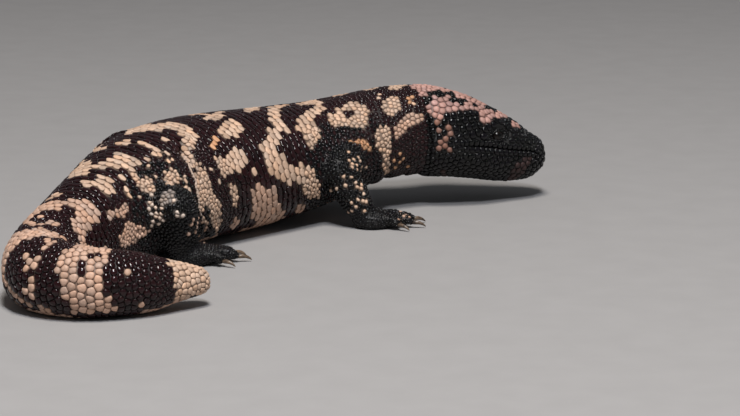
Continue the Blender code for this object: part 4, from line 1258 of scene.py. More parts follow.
TAIL_PALE = {
    "root_band": ("rose", [
        (24.7, 222.1), (31, 214.1), (42.5, 206.1), (55.1, 202.1), (64.3, 203.2), (73.5, 199.8),
        (80.4, 199.2), (89.5, 202.6), (97.6, 207.2), (101, 213), (97.6, 218.7), (94.1, 224.4), (85, 229),
        (84.4, 235.9), (86.1, 245.1), (80.4, 245.1), (79.2, 239.4), (74.6, 230.2), (70, 223.3),
        (68.9, 218.7), (75.8, 215.8), (76.9, 209.5), (73.5, 206.1), (64.3, 207.2), (57.4, 211.2),
        (42.5, 213), (35.6, 215.8), (31, 220.4), (25.8, 223.3)]),
    "root_patch": ("rose", [
        (105, 219.8), (110.8, 213), (110.2, 208.9), (117.1, 210.7), (120.5, 206.1), (129.7, 202.1),
        (128, 210.7), (126.3, 215.8), (120.5, 218.7), (114.8, 218.1), (107.9, 221)]),
    "root_stripe": ("rose", [
        (125.1, 223.3), (132, 222.1), (149.2, 229), (149.2, 232.5), (142.4, 237.1), (137.8, 240.5),
        (125.1, 247.4), (120, 246.3), (118.2, 237.1), (121.7, 230.2)]),
    "bend_dash": ("rose", [
        (24.1, 224.4), (28.7, 223.3), (34.4, 222.1), (39, 224.4), (45.9, 219.8), (50.5, 221), (57.4, 223.3),
        (58.5, 227.9), (54, 227.3), (48.2, 224.4), (39, 225.6), (29.8, 226.7)]),
    "bend_arc": ("rose", [
        (17.2, 233.6), (25.3, 231.3), (33.3, 229), (43.6, 229), (51.7, 231.3), (58.5, 235.3), (64.3, 239.4),
        (64.3, 240.5), (55.1, 239.4), (45.9, 237.1), (34.4, 238.8), (26.4, 240.5), (18.4, 245.1),
        (12.6, 250.8), (9.8, 257.7), (7.5, 263.5), (6.9, 270.4), (6.9, 278.4), (10.3, 285.3), (14.9, 292.2),
        (23, 299.1), (31, 303.7), (43.6, 305.9), (50.5, 309.4), (43.6, 309.4), (28.7, 304.8), (19.5, 300.2),
        (11.5, 292.2), (4.6, 281.8), (1.1, 270.4), (1.7, 256.6), (4.6, 247.4), (10.3, 239.4)]),
    "bend_mark": ("rose", [
        (43.6, 241.7), (45.9, 239.9), (55.1, 240.5), (57.4, 243.4), (50.5, 245.1), (44.8, 244.5)]),
    "end_ring": ("rose", [
        (64.3, 252), (71.2, 247.4), (80.4, 245.7), (87.2, 245.1), (97.6, 247.4), (109.1, 249.1),
        (109.6, 254.3), (106.8, 261.2), (102.2, 270.4), (101.6, 281.8), (102.2, 293.3), (109.1, 297.9),
        (114.8, 304.8), (120.5, 310.5), (114.8, 314), (91.8, 314.6), (74.6, 312.8), (67.7, 307.1),
        (64.3, 299.1), (60.8, 291), (58, 279.5), (55.1, 269.2), (58.5, 261.2)]),
    "tip": ("buff", [
        (167, 262.3), (180, 256), (204, 262), (214, 280), (212, 300), (182, 306), (176.8, 300.2),
        (172.2, 277.2), (169.9, 268.1)]),
}
TAIL_DARK = {
    "ring_spot": [(74, 263.5), (80.4, 259.5), (85.5, 263.5), (84.4, 270.4), (80.4, 273.2), (75.8, 266.9)],
    "ring_dash": [(86.1, 256.6), (91.8, 254.3), (98.7, 254.9), (99.9, 257.7), (91.8, 258.9)],
}
TAIL_BEADS = {
    "rose": [
        (38.5, 219.3), (48.2, 220.4), (55.7, 224.4), (42.5, 251.4), (27.6, 256), (36.7, 258.9),
        (28.1, 262.9), (32.7, 267.5), (26.4, 270.9), (31, 277.2), (30.4, 286.4), (25.8, 290.4),
        (33.3, 296.8), (136.6, 257.7), (142.4, 259.5), (129.1, 275.5), (136.6, 281.3), (141.2, 304.8)],
}
HEAD_PALE = {
    "crown": ("pink", [
        (427.5, 103.2), (432.4, 96.6), (433, 88), (437, 80), (470, 84), (480, 90), (488, 97), (494.6, 109),
        (502.9, 112.3), (507.9, 115.7), (511.2, 118.1), (507.9, 119.8), (502.9, 119), (497.9, 118.6),
        (492.1, 117.3), (490.5, 120.6), (488.8, 123.9), (485.5, 123.9), (481.8, 121.5), (479.7, 117.3),
        (476.4, 113.2), (471.4, 110.7), (466.4, 108.6), (459.8, 109.9), (459, 114), (454.8, 114),
        (453.2, 110.7), (444.9, 110.3), (438.2, 113.2), (436.6, 116.5), (439.9, 118.1), (438.2, 121.5),
        (433.3, 116.5), (430.8, 112.3), (426.6, 110.7), (425, 108.2)]),
    "snout_patch": ("pink", [
        (509.6, 120.6), (513.7, 121.5), (519.5, 123.9), (521.2, 126.4), (517.8, 127.7), (513.7, 128.1),
        (511.2, 125.6)]),
    "chin_front": ("wine", [
        (517, 164), (524, 158), (531, 158), (528, 166), (522, 173), (512, 181), (505, 180)]),
    "jaw_patch": ("wine", [(437, 166), (447, 168), (450, 175), (440, 175)]),
}
HEAD_STREAKS = [  # lines of dark plates on the crown
    [(425.5, 97.5), (434.7, 94), (451, 94.5)], [(448, 101), (465, 102)],
    [(466, 93.5), (478, 99), (491.8, 105.7)], [(472.5, 105.5), (476, 106.5)], [(484, 108.8), (495, 110)],
    [(508, 116.5), (514, 120)],
]
STREAK_HALF = 2.3
HEAD_BEADS = {
    "pink": [(434.1, 114), (437.8, 118.6), (456.5, 112.3)],
    "brown": [
        (440.3, 131.8), (448.2, 129.8), (454, 135.6), (446.1, 137.8), (440.3, 141.5), (445.7, 146),
        (451.5, 149.2), (438, 149), (435.8, 126)],
}
LEG_PALE = {
    # the grey knee patch is partly the leg's pale pebbles and partly painted highlight, where the knee shows
    # a blurred sheen
    "knee_pebbles_and_sheen": ("grey", [
        (158, 195), (165, 190.5), (172.5, 191), (175.5, 198), (170, 206), (163, 207), (160, 201)]),
}
LEG_OPEN = {  # a patch where every pale pebble has dark ones round it
    "toes": ("rose", [(394, 198), (410, 201), (410, 222), (398, 222)]),
}
LEG_BEADS = {
    "white": [
        (151.6, 197.9), (152.6, 201.8), (149.8, 204.9), (155.1, 206.7), (150.5, 210.2), (156.5, 212.3),
        (150.2, 214.7), (161.1, 208.4), (162.8, 214.4), (160.4, 219.3), (164.9, 220.4), (150.9, 221.4),
        (157.2, 223.5), (151.9, 227), (154.7, 217.2), (175.8, 201.4), (177.9, 210.5), (176.8, 216.8),
        (182.1, 214.7), (185.3, 205.6)],
    "rose": [
        (191.9, 218.6), (197.5, 218.2), (191.6, 222.8), (195.8, 222.1), (195.4, 226.3), (184.9, 229.8),
        (188.4, 232.6), (194.4, 231.2), (187.7, 235.4), (197.9, 234.7), (205.3, 228.4), (206, 224.9),
        (203.5, 222.1), (207.4, 239.6), (203.5, 241.8)],
    "buff": [
        (353.9, 158.7), (357.5, 158.1), (360, 161.3), (354.2, 163.5), (357.3, 165.4), (360.7, 166.5),
        (364, 168.2), (355.9, 170.3), (359.4, 170.9), (352.1, 176.8), (355.9, 176.8), (355.3, 183.3),
        (361.8, 185.5), (356.4, 187.1), (362.4, 189.3), (361.8, 194.7), (358.6, 200.7), (362.9, 199.6),
        (365.6, 201.2), (364, 208.8), (357.5, 206.7), (351, 204.5), (352.6, 209.4), (349.3, 212.1),
        # the first three places on this line are painted highlight: pale beads set where the upper arm shows
        # glints
        (331.5, 183.9), (332.5, 189.8), (336.3, 186.6), (343.4, 178.5), (345, 184.4), (349.5, 153.4),
        (350, 159.8), (349.3, 166)],
}
OPEN_GAP = 2.6
print("patches:", len(BODY_PALE) + len(TAIL_PALE) + len(HEAD_PALE) + len(LEG_PALE))

# %% Read the patches at the roots
BEHIND_SWAY, HEAD_SWAY = 7.0, 2.6
TINTS = {
    "buff": "#CAAB93", "rose": "#C5A28C", "pink": "#B88F84", "orange": "#C99873", "brown": "#8A6557",
    "wine": "#3A2826", "white": "#CFBAA9", "grey": "#9C8F86", "dark": "#200C0E", "black": "#080609",
}
NAMES = list(TINTS)
TAIL_FROM = 211  # mm behind the nape
SEEN_SHARE, CERTAIN = 0.4, 3.0  # view share of a bead that is seen, and the depth of a single bead
BEAD_WITHIN, TAKEN_PENALTY = 4.5, 3.0  # pixels
BELLY_TURNS, THROAT_END = (128, 142), 44  # where the belly's bars begin, down the side and behind the throat
LEG_BANDS, BELLY_BARS = 5.5, 6.8  # mm of leg and of belly to a radian of their bands
HORIZON = (-0.10, 0.06)  # how squarely a surface faces the camera as it comes into sight


def inside_depth(places, outline):
    """How many pixels each place is inside an outline; negative outside."""
    outline = np.array(outline, float)
    depth, inside = np.full(len(places), 1e9), np.zeros(len(places), bool)
    for a, b in zip(outline, np.roll(outline, -1, 0)):
        run = b - a
        share = np.clip(((places - a) @ run) / (run @ run), 0, 1)
        depth = np.minimum(depth, np.linalg.norm(places - a - share[:, None] * run, axis=1))
        if a[1] != b[1]:
            spans = (a[1] > places[:, 1]) != (b[1] > places[:, 1])
            inside ^= spans & (places[:, 0] < a[0] + (places[:, 1] - a[1]) * run[0] / run[1])
    return np.where(inside, depth, -depth)


def read_patches(places, pale, dark=None):
    """Depth inside the pale patches and the number of the tint there."""
    best, tint = np.full(len(places), -1e9), np.zeros(len(places), int)
    for kind, outline in pale.values():
        depth = inside_depth(places, outline)
        tint = np.where(depth > best, NAMES.index(kind), tint)
        best = np.maximum(best, depth)
    for outline in (dark or {}).values():
        best = np.minimum(best, -inside_depth(places, outline))
    return best, tint


def sway(points, seed, size):
    """A smooth random field, about -1 to 1, with waves of this size in mm."""
    draw = np.random.default_rng(seed)
    total = 0
    for _ in range(6):
        way = draw.normal(size=3)
        way *= 2 * np.pi / (size * draw.uniform(0.7, 1.5)) / np.linalg.norm(way)
        total = total + np.sin(points @ way + draw.uniform(0, 6.3))
    return total / 2.4


def view_share(normals):
    """1 where the camera sees the surface, 0 where it doesn't, soft at the horizon."""
    return smooth_step(-(normals @ SIGHT), *HORIZON)


places = picture_place(ROOTS)
seen = view_share(NORMALS)
best = np.full(len(ROOTS), -1e9)
tint = np.zeros(len(ROOTS), int)

# neck, trunk and tail; the first part of the tail shares the patches of the hips
BODY_ALL = {**BODY_PALE, **{name: TAIL_PALE[name] for name in ("root_band", "root_patch", "root_stripe")}}
TAIL_ALL = {**TAIL_PALE, **{name: BODY_PALE[name] for name in ("thigh_band", "rump_streak", "hip_band")}}
trunk = (REGION == 0) & (AT < TAIL_FROM)
tail = (REGION == 0) & (AT >= TAIL_FROM)
drift = (1 - seen) * BEHIND_SWAY * sway(ROOTS, 3, 45)
for chosen, pale, dark in ((trunk, BODY_ALL, BODY_DARK), (tail, TAIL_ALL, TAIL_DARK)):
    here, here_tint = read_patches(places[chosen], pale, dark)
    behind = body_surface(np.clip(AT[chosen] + drift[chosen], 0, LENGTH), -TURN[chosen])
    there, there_tint = read_patches(picture_place(behind), pale, dark)
    share = seen[chosen]
    best[chosen] = here * share + there * (1 - share)
    tint[chosen] = np.where(share > 0.5, here_tint, there_tint)

# head: its left side is the right side mirrored, with its marks drawn out of line
head = REGION == 1
behind = mirror_head(ROOTS[head])
behind[:, :2] += np.outer(HEAD_SWAY * sway(ROOTS[head], 12, 30), HEAD_AHEAD)
HEAD_ALL = {**HEAD_PALE, "nape": BODY_PALE["nape"], "ear_patch": BODY_PALE["ear_patch"]}
here, here_tint = read_patches(places[head], HEAD_ALL)
there, there_tint = read_patches(picture_place(behind), HEAD_ALL)
for streak in HEAD_STREAKS:
    here = np.minimum(here, np.abs(line_distance(places[head], streak)) - STREAK_HALF)
    there = np.minimum(there, np.abs(line_distance(picture_place(behind), streak)) - STREAK_HALF)
share = seen[head]
best[head] = here * share + there * (1 - share)
tint[head] = np.where(share > 0.5, here_tint, there_tint)

# legs: the two on the camera's side are traced, the two behind are banded
for number, name in enumerate(limb_names):
    chosen = REGION == number + 2
    if name.endswith("right"):
        best[chosen], tint[chosen] = read_patches(places[chosen], {**BODY_ALL, **LEG_PALE}, BODY_DARK)
    else:
        along = limb_address(ROOTS[chosen], LIMB_LINES[name])[0]
        drift = 0.8 * sway(ROOTS[chosen], 9 + number, 22)
        best[chosen] = 4 * (np.sin(along / LEG_BANDS + number) + drift - 0.5)
        tint[chosen] = NAMES.index("buff")

# open patches of the legs: only pebbles that stand clear of each other are pale
open_depth, open_tint = read_patches(places, LEG_OPEN)
chosen = np.flatnonzero((open_depth > 0) & (REGION != 1) & (seen > SEEN_SHARE))
chosen = chosen[thin_out(ROOTS[chosen], np.full(len(chosen), OPEN_GAP))]
best[chosen], tint[chosen] = CERTAIN, open_tint[chosen]
for number, name in enumerate(limb_names):
    if name.endswith("left"):
        banded = np.flatnonzero((REGION == number + 2) & (best > 0))
        best[banded] = -1.0
        best[banded[thin_out(ROOTS[banded], np.full(len(banded), OPEN_GAP))]] = CERTAIN

# single beads: the seen bead nearest to each traced place
for region, table in ((0, BODY_BEADS), (0, TAIL_BEADS), (0, LEG_BEADS), (1, HEAD_BEADS)):
    own = np.flatnonzero((seen > SEEN_SHARE) & ((REGION == region) | ((REGION > 1) & (region == 0))))
    for kind, spots in table.items():
        for spot in spots:
            away = np.linalg.norm(places[own] - spot, axis=1)
            away = away + TAKEN_PENALTY * (best[own] > 0) * (region == 0)
            if away.min() < BEAD_WITHIN:
                nearest = own[away.argmin()]
                best[nearest], tint[nearest] = CERTAIN, NAMES.index(kind)

# the belly is pale with dark bars across it
low = smooth_step(side_of(TURN), *BELLY_TURNS) * (REGION == 0)
bars = 3.2 * (np.sin(AT / BELLY_BARS + 1.2 * sway(ROOTS, 5, 60)) + 0.35 + 0.8 * sway(ROOTS, 6, 24))
bars = np.where(AT < THROAT_END, -CERTAIN, bars)
best = best * (1 - low) + bars * low
tint = np.where(low > 0.5, NAMES.index("rose"), tint)
PALE = best > 0
print("pale beads:", int(PALE.sum()), "of", len(ROOTS))

# %% Give each bead its colour
VALUE_SPREAD, DARK_SPREAD, WARM_SPREAD = 0.09, 2.2, 0.03
EDGE_PIXELS, EDGE_DULL = 1.6, 0.22
draw = np.random.default_rng(41)
swatches = np.array([linear(swatch)[:3] for swatch in TINTS.values()])
ground = np.where(REGION == 0, NAMES.index("dark"), NAMES.index("black"))
colour = swatches[np.where(PALE, tint, ground)]
value = 1 + draw.normal(0, VALUE_SPREAD, len(ROOTS)) * np.where(PALE, 1.0, DARK_SPREAD)
colour = colour * value[:, None]
warm = draw.normal(0, WARM_SPREAD, len(ROOTS))
colour = colour * np.stack([1 + warm, 1 + 0 * warm, 1 - warm], -1)
# beads on the edge of a patch are a little duller
edge = hump(best, 0, EDGE_PIXELS) * PALE
colour = colour * (1 - EDGE_DULL * edge)[:, None]
COLOUR = np.clip(colour, 0.002, 0.9)
SHINE = np.where(PALE, 0.0, 1.0)
print("mean colour of a bead:", COLOUR.mean(0).round(3))

# %% [markdown]
# ## Make the coat
# Each length of the body gets its beads as one joined mesh. The arrays hold all corners of all beads at
# once. Every bead also gets a small patch of its own on the bake map, at the place of its root on a
# flattened skin, so that a baked texture keeps one clean colour for each bead.

# %% Heights and places on the bake map
PATCH = 0.0015
# islands of the bake map: left edge, low edge, width and height; the four legs stand side by side
BODY_ISLAND, HEAD_ISLAND = (0.01, 0.40, 0.98, 0.59), (0.01, 0.03, 0.31, 0.34)
LEG_ISLAND, LEG_ISLAND_STEP = (0.34, 0.03, 0.15, 0.34), 0.165
HEIGHTS = {"body": 0.84, "tail": 0.95, "belly": 0.5, "leg": 0.85, "foot": 0.42, "head": 1.0, "grain": 0.35}
HEIGHT_SPREAD = 0.06
FULL_PLATE, FULL_BEAD = 1.6, 1.5  # half widths in mm with which a copy gets its full height
RIM_LIFT, SINK, LIE = 0.75, 0.35, 0.12
COAT_FLOOR = 0.02
on_belly = smooth_step(side_of(TURN), 115, 140) * (REGION == 0)
on_tail = smooth_step(AT, 190, 230) * (REGION == 0)
HEIGHT = HEIGHTS["body"] + (HEIGHTS["tail"] - HEIGHTS["body"]) * on_tail
HEIGHT = HEIGHT + (HEIGHTS["belly"] - HEIGHT) * on_belly
HEIGHT = np.where(REGION >= 2, HEIGHTS["leg"] + (HEIGHTS["foot"] - HEIGHTS["leg"]) * FOOT, HEIGHT)
HEIGHT = np.where(REGION == 1, HEIGHTS["head"] * np.clip(mean_reach / FULL_PLATE, 0.6, 1.2), HEIGHT)
HEIGHT = np.where(GRAIN, HEIGHTS["grain"], HEIGHT)
HEIGHT = HEIGHT * (1 + draw.normal(0, HEIGHT_SPREAD, len(ROOTS)))
HEIGHT = HEIGHT * np.where(REGION == 0, np.clip(mean_reach / FULL_BEAD, 0.6, 1.0), 1.0)


def bake_places():
    """u and v of each root on an unwrap of the skin: body, head and one island for each leg."""
    left, low, width, height = BODY_ISLAND
    u = left + width * AT / LENGTH
    v = low + height * (np.mod(TURN + 180, 360)) / 360
    left, low, width, height = HEAD_ISLAND
    u = np.where(REGION == 1, left + width * np.clip(head_back + 1.5, 0, 62.5) / 62.5, u)
    v = np.where(REGION == 1, low + height * (head_turn + 180) / 360, v)
    left, low, width, height = LEG_ISLAND
    for number, name in enumerate(limb_names):
        chosen = REGION == number + 2
        along, around, _, _, length = limb_address(ROOTS[chosen], LIMB_LINES[name])
        u[chosen] = left + LEG_ISLAND_STEP * number + width * (around + 180) / 360
        v[chosen] = low + height * along / length
    return np.stack([u, v], -1)


BAKE = bake_places()
print("bake map from", BAKE.min(0).round(3), "to", BAKE.max(0).round(3))

# %% Copy the bead to its roots
def coat_piece(name, chosen, shape, reaches):
    """One mesh of a copy of the shape at each chosen root, stretched to the root's cell."""
    points, faces = shape
    index = np.flatnonzero(chosen)
    sides = reaches.shape[1]
    spread = np.hypot(points[:, 0], points[:, 1])
    way = np.round(np.arctan2(points[:, 1], points[:, 0]) / (2 * np.pi / sides)).astype(int) % sides
    angle = 2 * np.pi * way / sides
    reach = reaches[index][:, way] * spread[None]
    # the dome leans back a little, along the lie of the scales
    back = LIE * np.maximum(points[:, 2], 0)[None] * mean_reach[index][:, None]
    along = reach * np.cos(angle)[None] - back
    across = reach * np.sin(angle)[None]
    # within a row the beads are all but fused, so the groove between them is shallow
    across_row = (ROW_WAY[index] @ np.stack([np.cos(angle), np.sin(angle)])) ** 2
    lift = RIM_LIFT * IN_ROW[index][:, None] * (1 - across_row)
    lift = lift * (1 - points[:, 2])[None] * (spread > 0.1)[None]
    rise = np.where(points[:, 2] < 0, points[:, 2][None] * SINK,
                    (points[:, 2][None] + lift) * HEIGHT[index][:, None])
    place = (ROOTS[index][:, None] + ALONG[index][:, None] * along[..., None]
             + ACROSS[index][:, None] * across[..., None] + NORMALS[index][:, None] * rise[..., None])
    place[..., 2] = np.maximum(place[..., 2], COAT_FLOOR)
    count, size = len(index), len(points)
    corner_of = np.concatenate([np.array(face) for face in faces])
    totals = np.tile([len(face) for face in faces], count)
    corners = (corner_of[None] + size * np.arange(count)[:, None]).ravel()
    mesh = bpy.data.meshes.new(name)
    mesh.vertices.add(count * size)
    mesh.vertices.foreach_set("co", (place * MM).ravel())
    mesh.loops.add(len(corners))
    mesh.loops.foreach_set("vertex_index", corners)
    mesh.polygons.add(len(totals))
    mesh.polygons.foreach_set("loop_start", np.concatenate([[0], np.cumsum(totals)[:-1]]))
    mesh.update(calc_edges=True)
    mesh.validate()
    mesh.shade_smooth()
    layer = mesh.color_attributes.new("coat_colour", "FLOAT_COLOR", "POINT")
    shade = np.ones((count, size, 4))
    shade[..., :3] = COLOUR[index][:, None]
    layer.data.foreach_set("color", shade.ravel())
    # the bead's height, which the material reads for the painted shade at each bead's foot
    rim = mesh.attributes.new("bead_height", "FLOAT", "POINT")
    rim.data.foreach_set("value", np.tile(np.clip(points[:, 2], 0, 1), count))
    gloss = mesh.attributes.new("bead_gloss", "FLOAT", "POINT")
    gloss.data.foreach_set("value", np.repeat(SHINE[index], size))
    bake = mesh.uv_layers.new(name="OFBake")
    flat = BAKE[index][:, None] + PATCH * points[None, :, :2]
    bake.data.foreach_set("uv", flat.reshape(-1, 2)[corners].ravel())
    mesh.calc_loop_triangles()
    print(name, count, "beads", len(mesh.loop_triangles), "triangles")
    return add_object(name, mesh)


LENGTHS = [("neck", 0, 36), ("trunk_front", 36, 72), ("trunk_middle", 72, 106), ("trunk_rear", 106, 145),
           ("hips", 145, 190), ("tail_root", 190, 240), ("tail_bend", 240, 284), ("tail_end", 284, 330)]
coat = []
for name, start, stop in LENGTHS:
    coat.append(coat_piece("beads_" + name, (REGION == 0) & (AT >= start) & (AT < stop), PLATE, REACH_16))
coat.append(coat_piece("plates_head", REGION == 1, PLATE, REACH_16))
for number, name in enumerate(limb_names):
    coat.append(coat_piece("beads_leg_" + name, REGION == number + 2, BEAD, REACH_12))

# %% [markdown]
# ### The skin takes the same markings
# What shows between the beads is soft skin, much darker than the beads. Each point of the skin takes a
# darkened mix of the colours of the beads nearest to it. In the ear pits and eye openings the skin is
# painted nearly black, as painted shade in those hollows; on the lids round the eyes it matches their black
# plates.

# %% Colour the skin
SKIN_SHADE, SKIN_NEAR, GROUND_SHARE = 0.42, 3, 0.4
EAR_PAINTED_SHADE, EYE_PAINTED_SHADE = 2.2, 2.0  # reach of the nearly black skin round them
root_tree = tree_of(ROOTS)
skin_points = read_points(skin)
near = np.array([[index for _, index, _ in root_tree.find_n(point, SKIN_NEAR)] for point in skin_points])
skin_colour = COLOUR[near].mean(1) * SKIN_SHADE + np.array(linear("#14100F")[:3]) * GROUND_SHARE
back, turn, _, _, _ = head_address(skin_points)
# the ear pits and eye openings are painted nearly black, as painted shade in those hollows; on the lids it
# matches the black plates round the eye
painted_shade_place = ear_reach(back, side_of(turn), *EAR_BARE) < EAR_PAINTED_SHADE
for side in (1, -1):
    a, b, c = eye_measures(skin_points, side)
    painted_shade_place |= (eye_reach(a, b) < EYE_PAINTED_SHADE) & (np.abs(c) < EYE_DEEP)
skin_colour[painted_shade_place] = linear("#0A0808")[:3]
layer = skin.data.color_attributes.new("coat_colour", "FLOAT_COLOR", "POINT")
layer.data.foreach_set("color", np.concatenate([skin_colour, np.ones((len(skin_points), 1))], 1).ravel())
print("skin takes its colour from", SKIN_NEAR, "beads a point")

# %% [markdown]
# ### The edge of the flank fold
# Where the loose skin of the flank turns under in front of the thigh, its edge has no beads and shows as
# a thin pale line of fine grains. It's a tube drawn along the fold that swells and narrows grain by
# grain. A crease in the mesh alone would be hidden under the beads.

# %% Edge of the flank fold
EDGE_LINE = [(182.5, 155.5), (186.5, 161), (191.4, 169), (195.2, 178), (197.6, 189), (199.2, 200),
             (200.5, 211), (203.5, 221)]
EDGE_HALF, EDGE_RISE, EDGE_POINTS = 0.55, 0.5, 56
EDGE_SWELL = (1.15, 0.62)  # the tube swells and narrows between these shares of its half width
SPOT_WITHIN = 2.4  # pixels


def seen_skin(spot):
    """The point of the skin that the camera sees at one place of the picture."""
    close = facing[np.linalg.norm(facing_places - spot, axis=1) < SPOT_WITHIN]
    return SKIN_POINTS[close[(SKIN_POINTS[close] @ SIGHT).argmin()]]


def fold_edge(name, points):
    points, _, normals = settle(points)
    data = bpy.data.curves.new(name, "CURVE")
    data.dimensions, data.bevel_depth, data.bevel_resolution = "3D", EDGE_HALF * MM, 2
    line = data.splines.new("NURBS")
    line.points.add(len(points) - 1)
    for i, (point, normal) in enumerate(zip(points, normals)):
        line.points[i].co = tuple((point + normal * EDGE_RISE) * MM) + (1.0,)
        taper = 0.35 + 0.65 * math.sin(math.pi * (i + 0.5) / len(points)) ** 0.5
        line.points[i].radius = taper * EDGE_SWELL[i % 2]
    line.use_endpoint_u, line.order_u, line.resolution_u = True, 3, 4
    data.use_fill_caps = True
    edge = add_object(name, data)
    make_active(edge)
    bpy.ops.object.convert(target="MESH")
    edge.data.shade_smooth()
    return edge


facing = np.flatnonzero((SKIN_NORMALS @ SIGHT < -0.1) & (spine_address(SKIN_POINTS)[0] > 100))
facing_places = picture_place(SKIN_POINTS[facing])
shares = np.linspace(0, len(EDGE_LINE) - 1, EDGE_POINTS)
spots = np.stack([np.interp(shares, range(len(EDGE_LINE)), values) for values in zip(*EDGE_LINE)], -1)
edge_points = np.array([seen_skin(spot) for spot in spots])
edge_at, edge_turn = spine_address(edge_points)
fold_edges = [fold_edge("fold_edge_right", edge_points),
              fold_edge("fold_edge_left", body_surface(edge_at, -edge_turn))]
print("edges of the fold:", [len(edge.data.polygons) for edge in fold_edges], "faces")

# %% [markdown]
# ## Finishes
# The beads are horn with a thin skin over them: pale ones look dry and matt, dark ones carry a soft
# polish that shows small cool highlights. Fine pits and a mottle keep them from looking like plastic,
# and painted shade darkens each bead towards its foot, in the grooves between beads.
# The colour itself comes from the beads. The nodes only add what changes within one bead: the mottle
# and the painted shade at the foot.

# %% Bead and skin materials
def new_material(name):
    material = bpy.data.materials.new(name)
    material.use_nodes = True
    material.node_tree.nodes.clear()
    return material, material.node_tree


def bead_material():
    material, tree = new_material("beaded_horn")
    colour = add_node(tree, "ShaderNodeAttribute", attribute_name="coat_colour")
    height = add_node(tree, "ShaderNodeAttribute", attribute_name="bead_height")
    gloss = add_node(tree, "ShaderNodeAttribute", attribute_name="bead_gloss")
    place = add_node(tree, "ShaderNodeTexCoord")
    mottle = add_node(tree, "ShaderNodeTexNoise", {"Scale": 900.0, "Detail": 3.0, "Roughness": 0.6},
                      {"Vector": place.outputs["Object"]})
    tone = add_node(tree, "ShaderNodeMapRange",
                    {"From Min": 0.3, "From Max": 0.7, "To Min": 0.80, "To Max": 1.14},
                    {"Value": mottle.outputs["Fac"]})
    # painted shade: each bead is darkened towards its foot, down between its neighbours, where shade would
    # fall
    foot = add_node(tree, "ShaderNodeMapRange",
                    {"From Min": 0.0, "From Max": 0.55, "To Min": 0.55, "To Max": 1.0},
                    {"Value": height.outputs["Fac"]}, interpolation_type="SMOOTHSTEP")
    shade = add_node(tree, "ShaderNodeMath", operation="MULTIPLY",
                     links={0: tone.outputs["Result"], 1: foot.outputs["Result"]})
    toned = add_node(tree, "ShaderNodeVectorMath", operation="SCALE",
                     links={0: colour.outputs["Color"], "Scale": shade.outputs["Value"]})
    rough = add_node(tree, "ShaderNodeMapRange", {"To Min": 0.54, "To Max": 0.13},
                     {"Value": gloss.outputs["Fac"]})
    pits = add_node(tree, "ShaderNodeTexNoise", {"Scale": 2600.0, "Detail": 2.0},
                    {"Vector": place.outputs["Object"]})
    bump = add_node(tree, "ShaderNodeBump", {"Strength": 0.25, "Distance": 0.00006},
                    {"Height": pits.outputs["Fac"]})
    horn = add_node(tree, "ShaderNodeBsdfPrincipled", {"Specular IOR Level": 0.35},
                    {"Base Color": toned.outputs["Vector"], "Roughness": rough.outputs["Result"],
                     "Normal": bump.outputs["Normal"]})
    add_node(tree, "ShaderNodeOutputMaterial", links={"Surface": horn.outputs["BSDF"]})
    return material


def skin_material():
    material, tree = new_material("soft_skin")
    colour = add_node(tree, "ShaderNodeAttribute", attribute_name="coat_colour")
    place = add_node(tree, "ShaderNodeTexCoord")
    grain = add_node(tree, "ShaderNodeTexVoronoi", {"Scale": 1700.0}, {"Vector": place.outputs["Object"]})
    tone = add_node(tree, "ShaderNodeMapRange", {"From Max": 0.7, "To Min": 1.15, "To Max": 0.75},
                    {"Value": grain.outputs["Distance"]})
    toned = add_node(tree, "ShaderNodeVectorMath", operation="SCALE",
                     links={0: colour.outputs["Color"], "Scale": tone.outputs["Result"]})
    bump = add_node(tree, "ShaderNodeBump", {"Strength": 0.4, "Distance": 0.00012},
                    {"Height": grain.outputs["Distance"]})
    soft = add_node(tree, "ShaderNodeBsdfPrincipled", {"Roughness": 0.6},
                    {"Base Color": toned.outputs["Vector"], "Normal": bump.outputs["Normal"]})
    add_node(tree, "ShaderNodeOutputMaterial", links={"Surface": soft.outputs["BSDF"]})
    return material


def edge_material():
    material, tree = new_material("pale_edge")
    place = add_node(tree, "ShaderNodeTexCoord")
    grain = add_node(tree, "ShaderNodeTexNoise", {"Scale": 900.0}, {"Vector": place.outputs["Object"]})
    ramp = add_node(tree, "ShaderNodeValToRGB", links={"Fac": grain.outputs["Fac"]})
    low, high = ramp.color_ramp.elements
    low.color, high.color = linear("#A58B79"), linear("#CDB7A6")
    soft = add_node(tree, "ShaderNodeBsdfPrincipled", {"Roughness": 0.5},
                    {"Base Color": ramp.outputs["Color"]})
    add_node(tree, "ShaderNodeOutputMaterial", links={"Surface": soft.outputs["BSDF"]})
    return material


BEADED_HORN, SOFT_SKIN, PALE_EDGE = bead_material(), skin_material(), edge_material()
for edge in fold_edges:
    edge.data.materials.append(PALE_EDGE)
    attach(edge, "root")
for piece in coat:
    piece.data.materials.append(BEADED_HORN)
    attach(piece, "root")
skin.data.materials.append(SOFT_SKIN)
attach(skin, "root")
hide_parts(*FLESH)
print("coat pieces:", len(coat))

# %% [markdown]
# ## Eyes
# The eye is a dark bead of its own, some six millimetres across with only the front showing. It's a
# sphere with its front pushed out a little. The iris is so dark a brown that it reads as black
# until light falls on it.

# %% Eyes
EYE_SHELL = 0.12
EYE_BULGE, BULGE_ANGLE = 0.05, 0.55  # share of the radius, and half width in radians


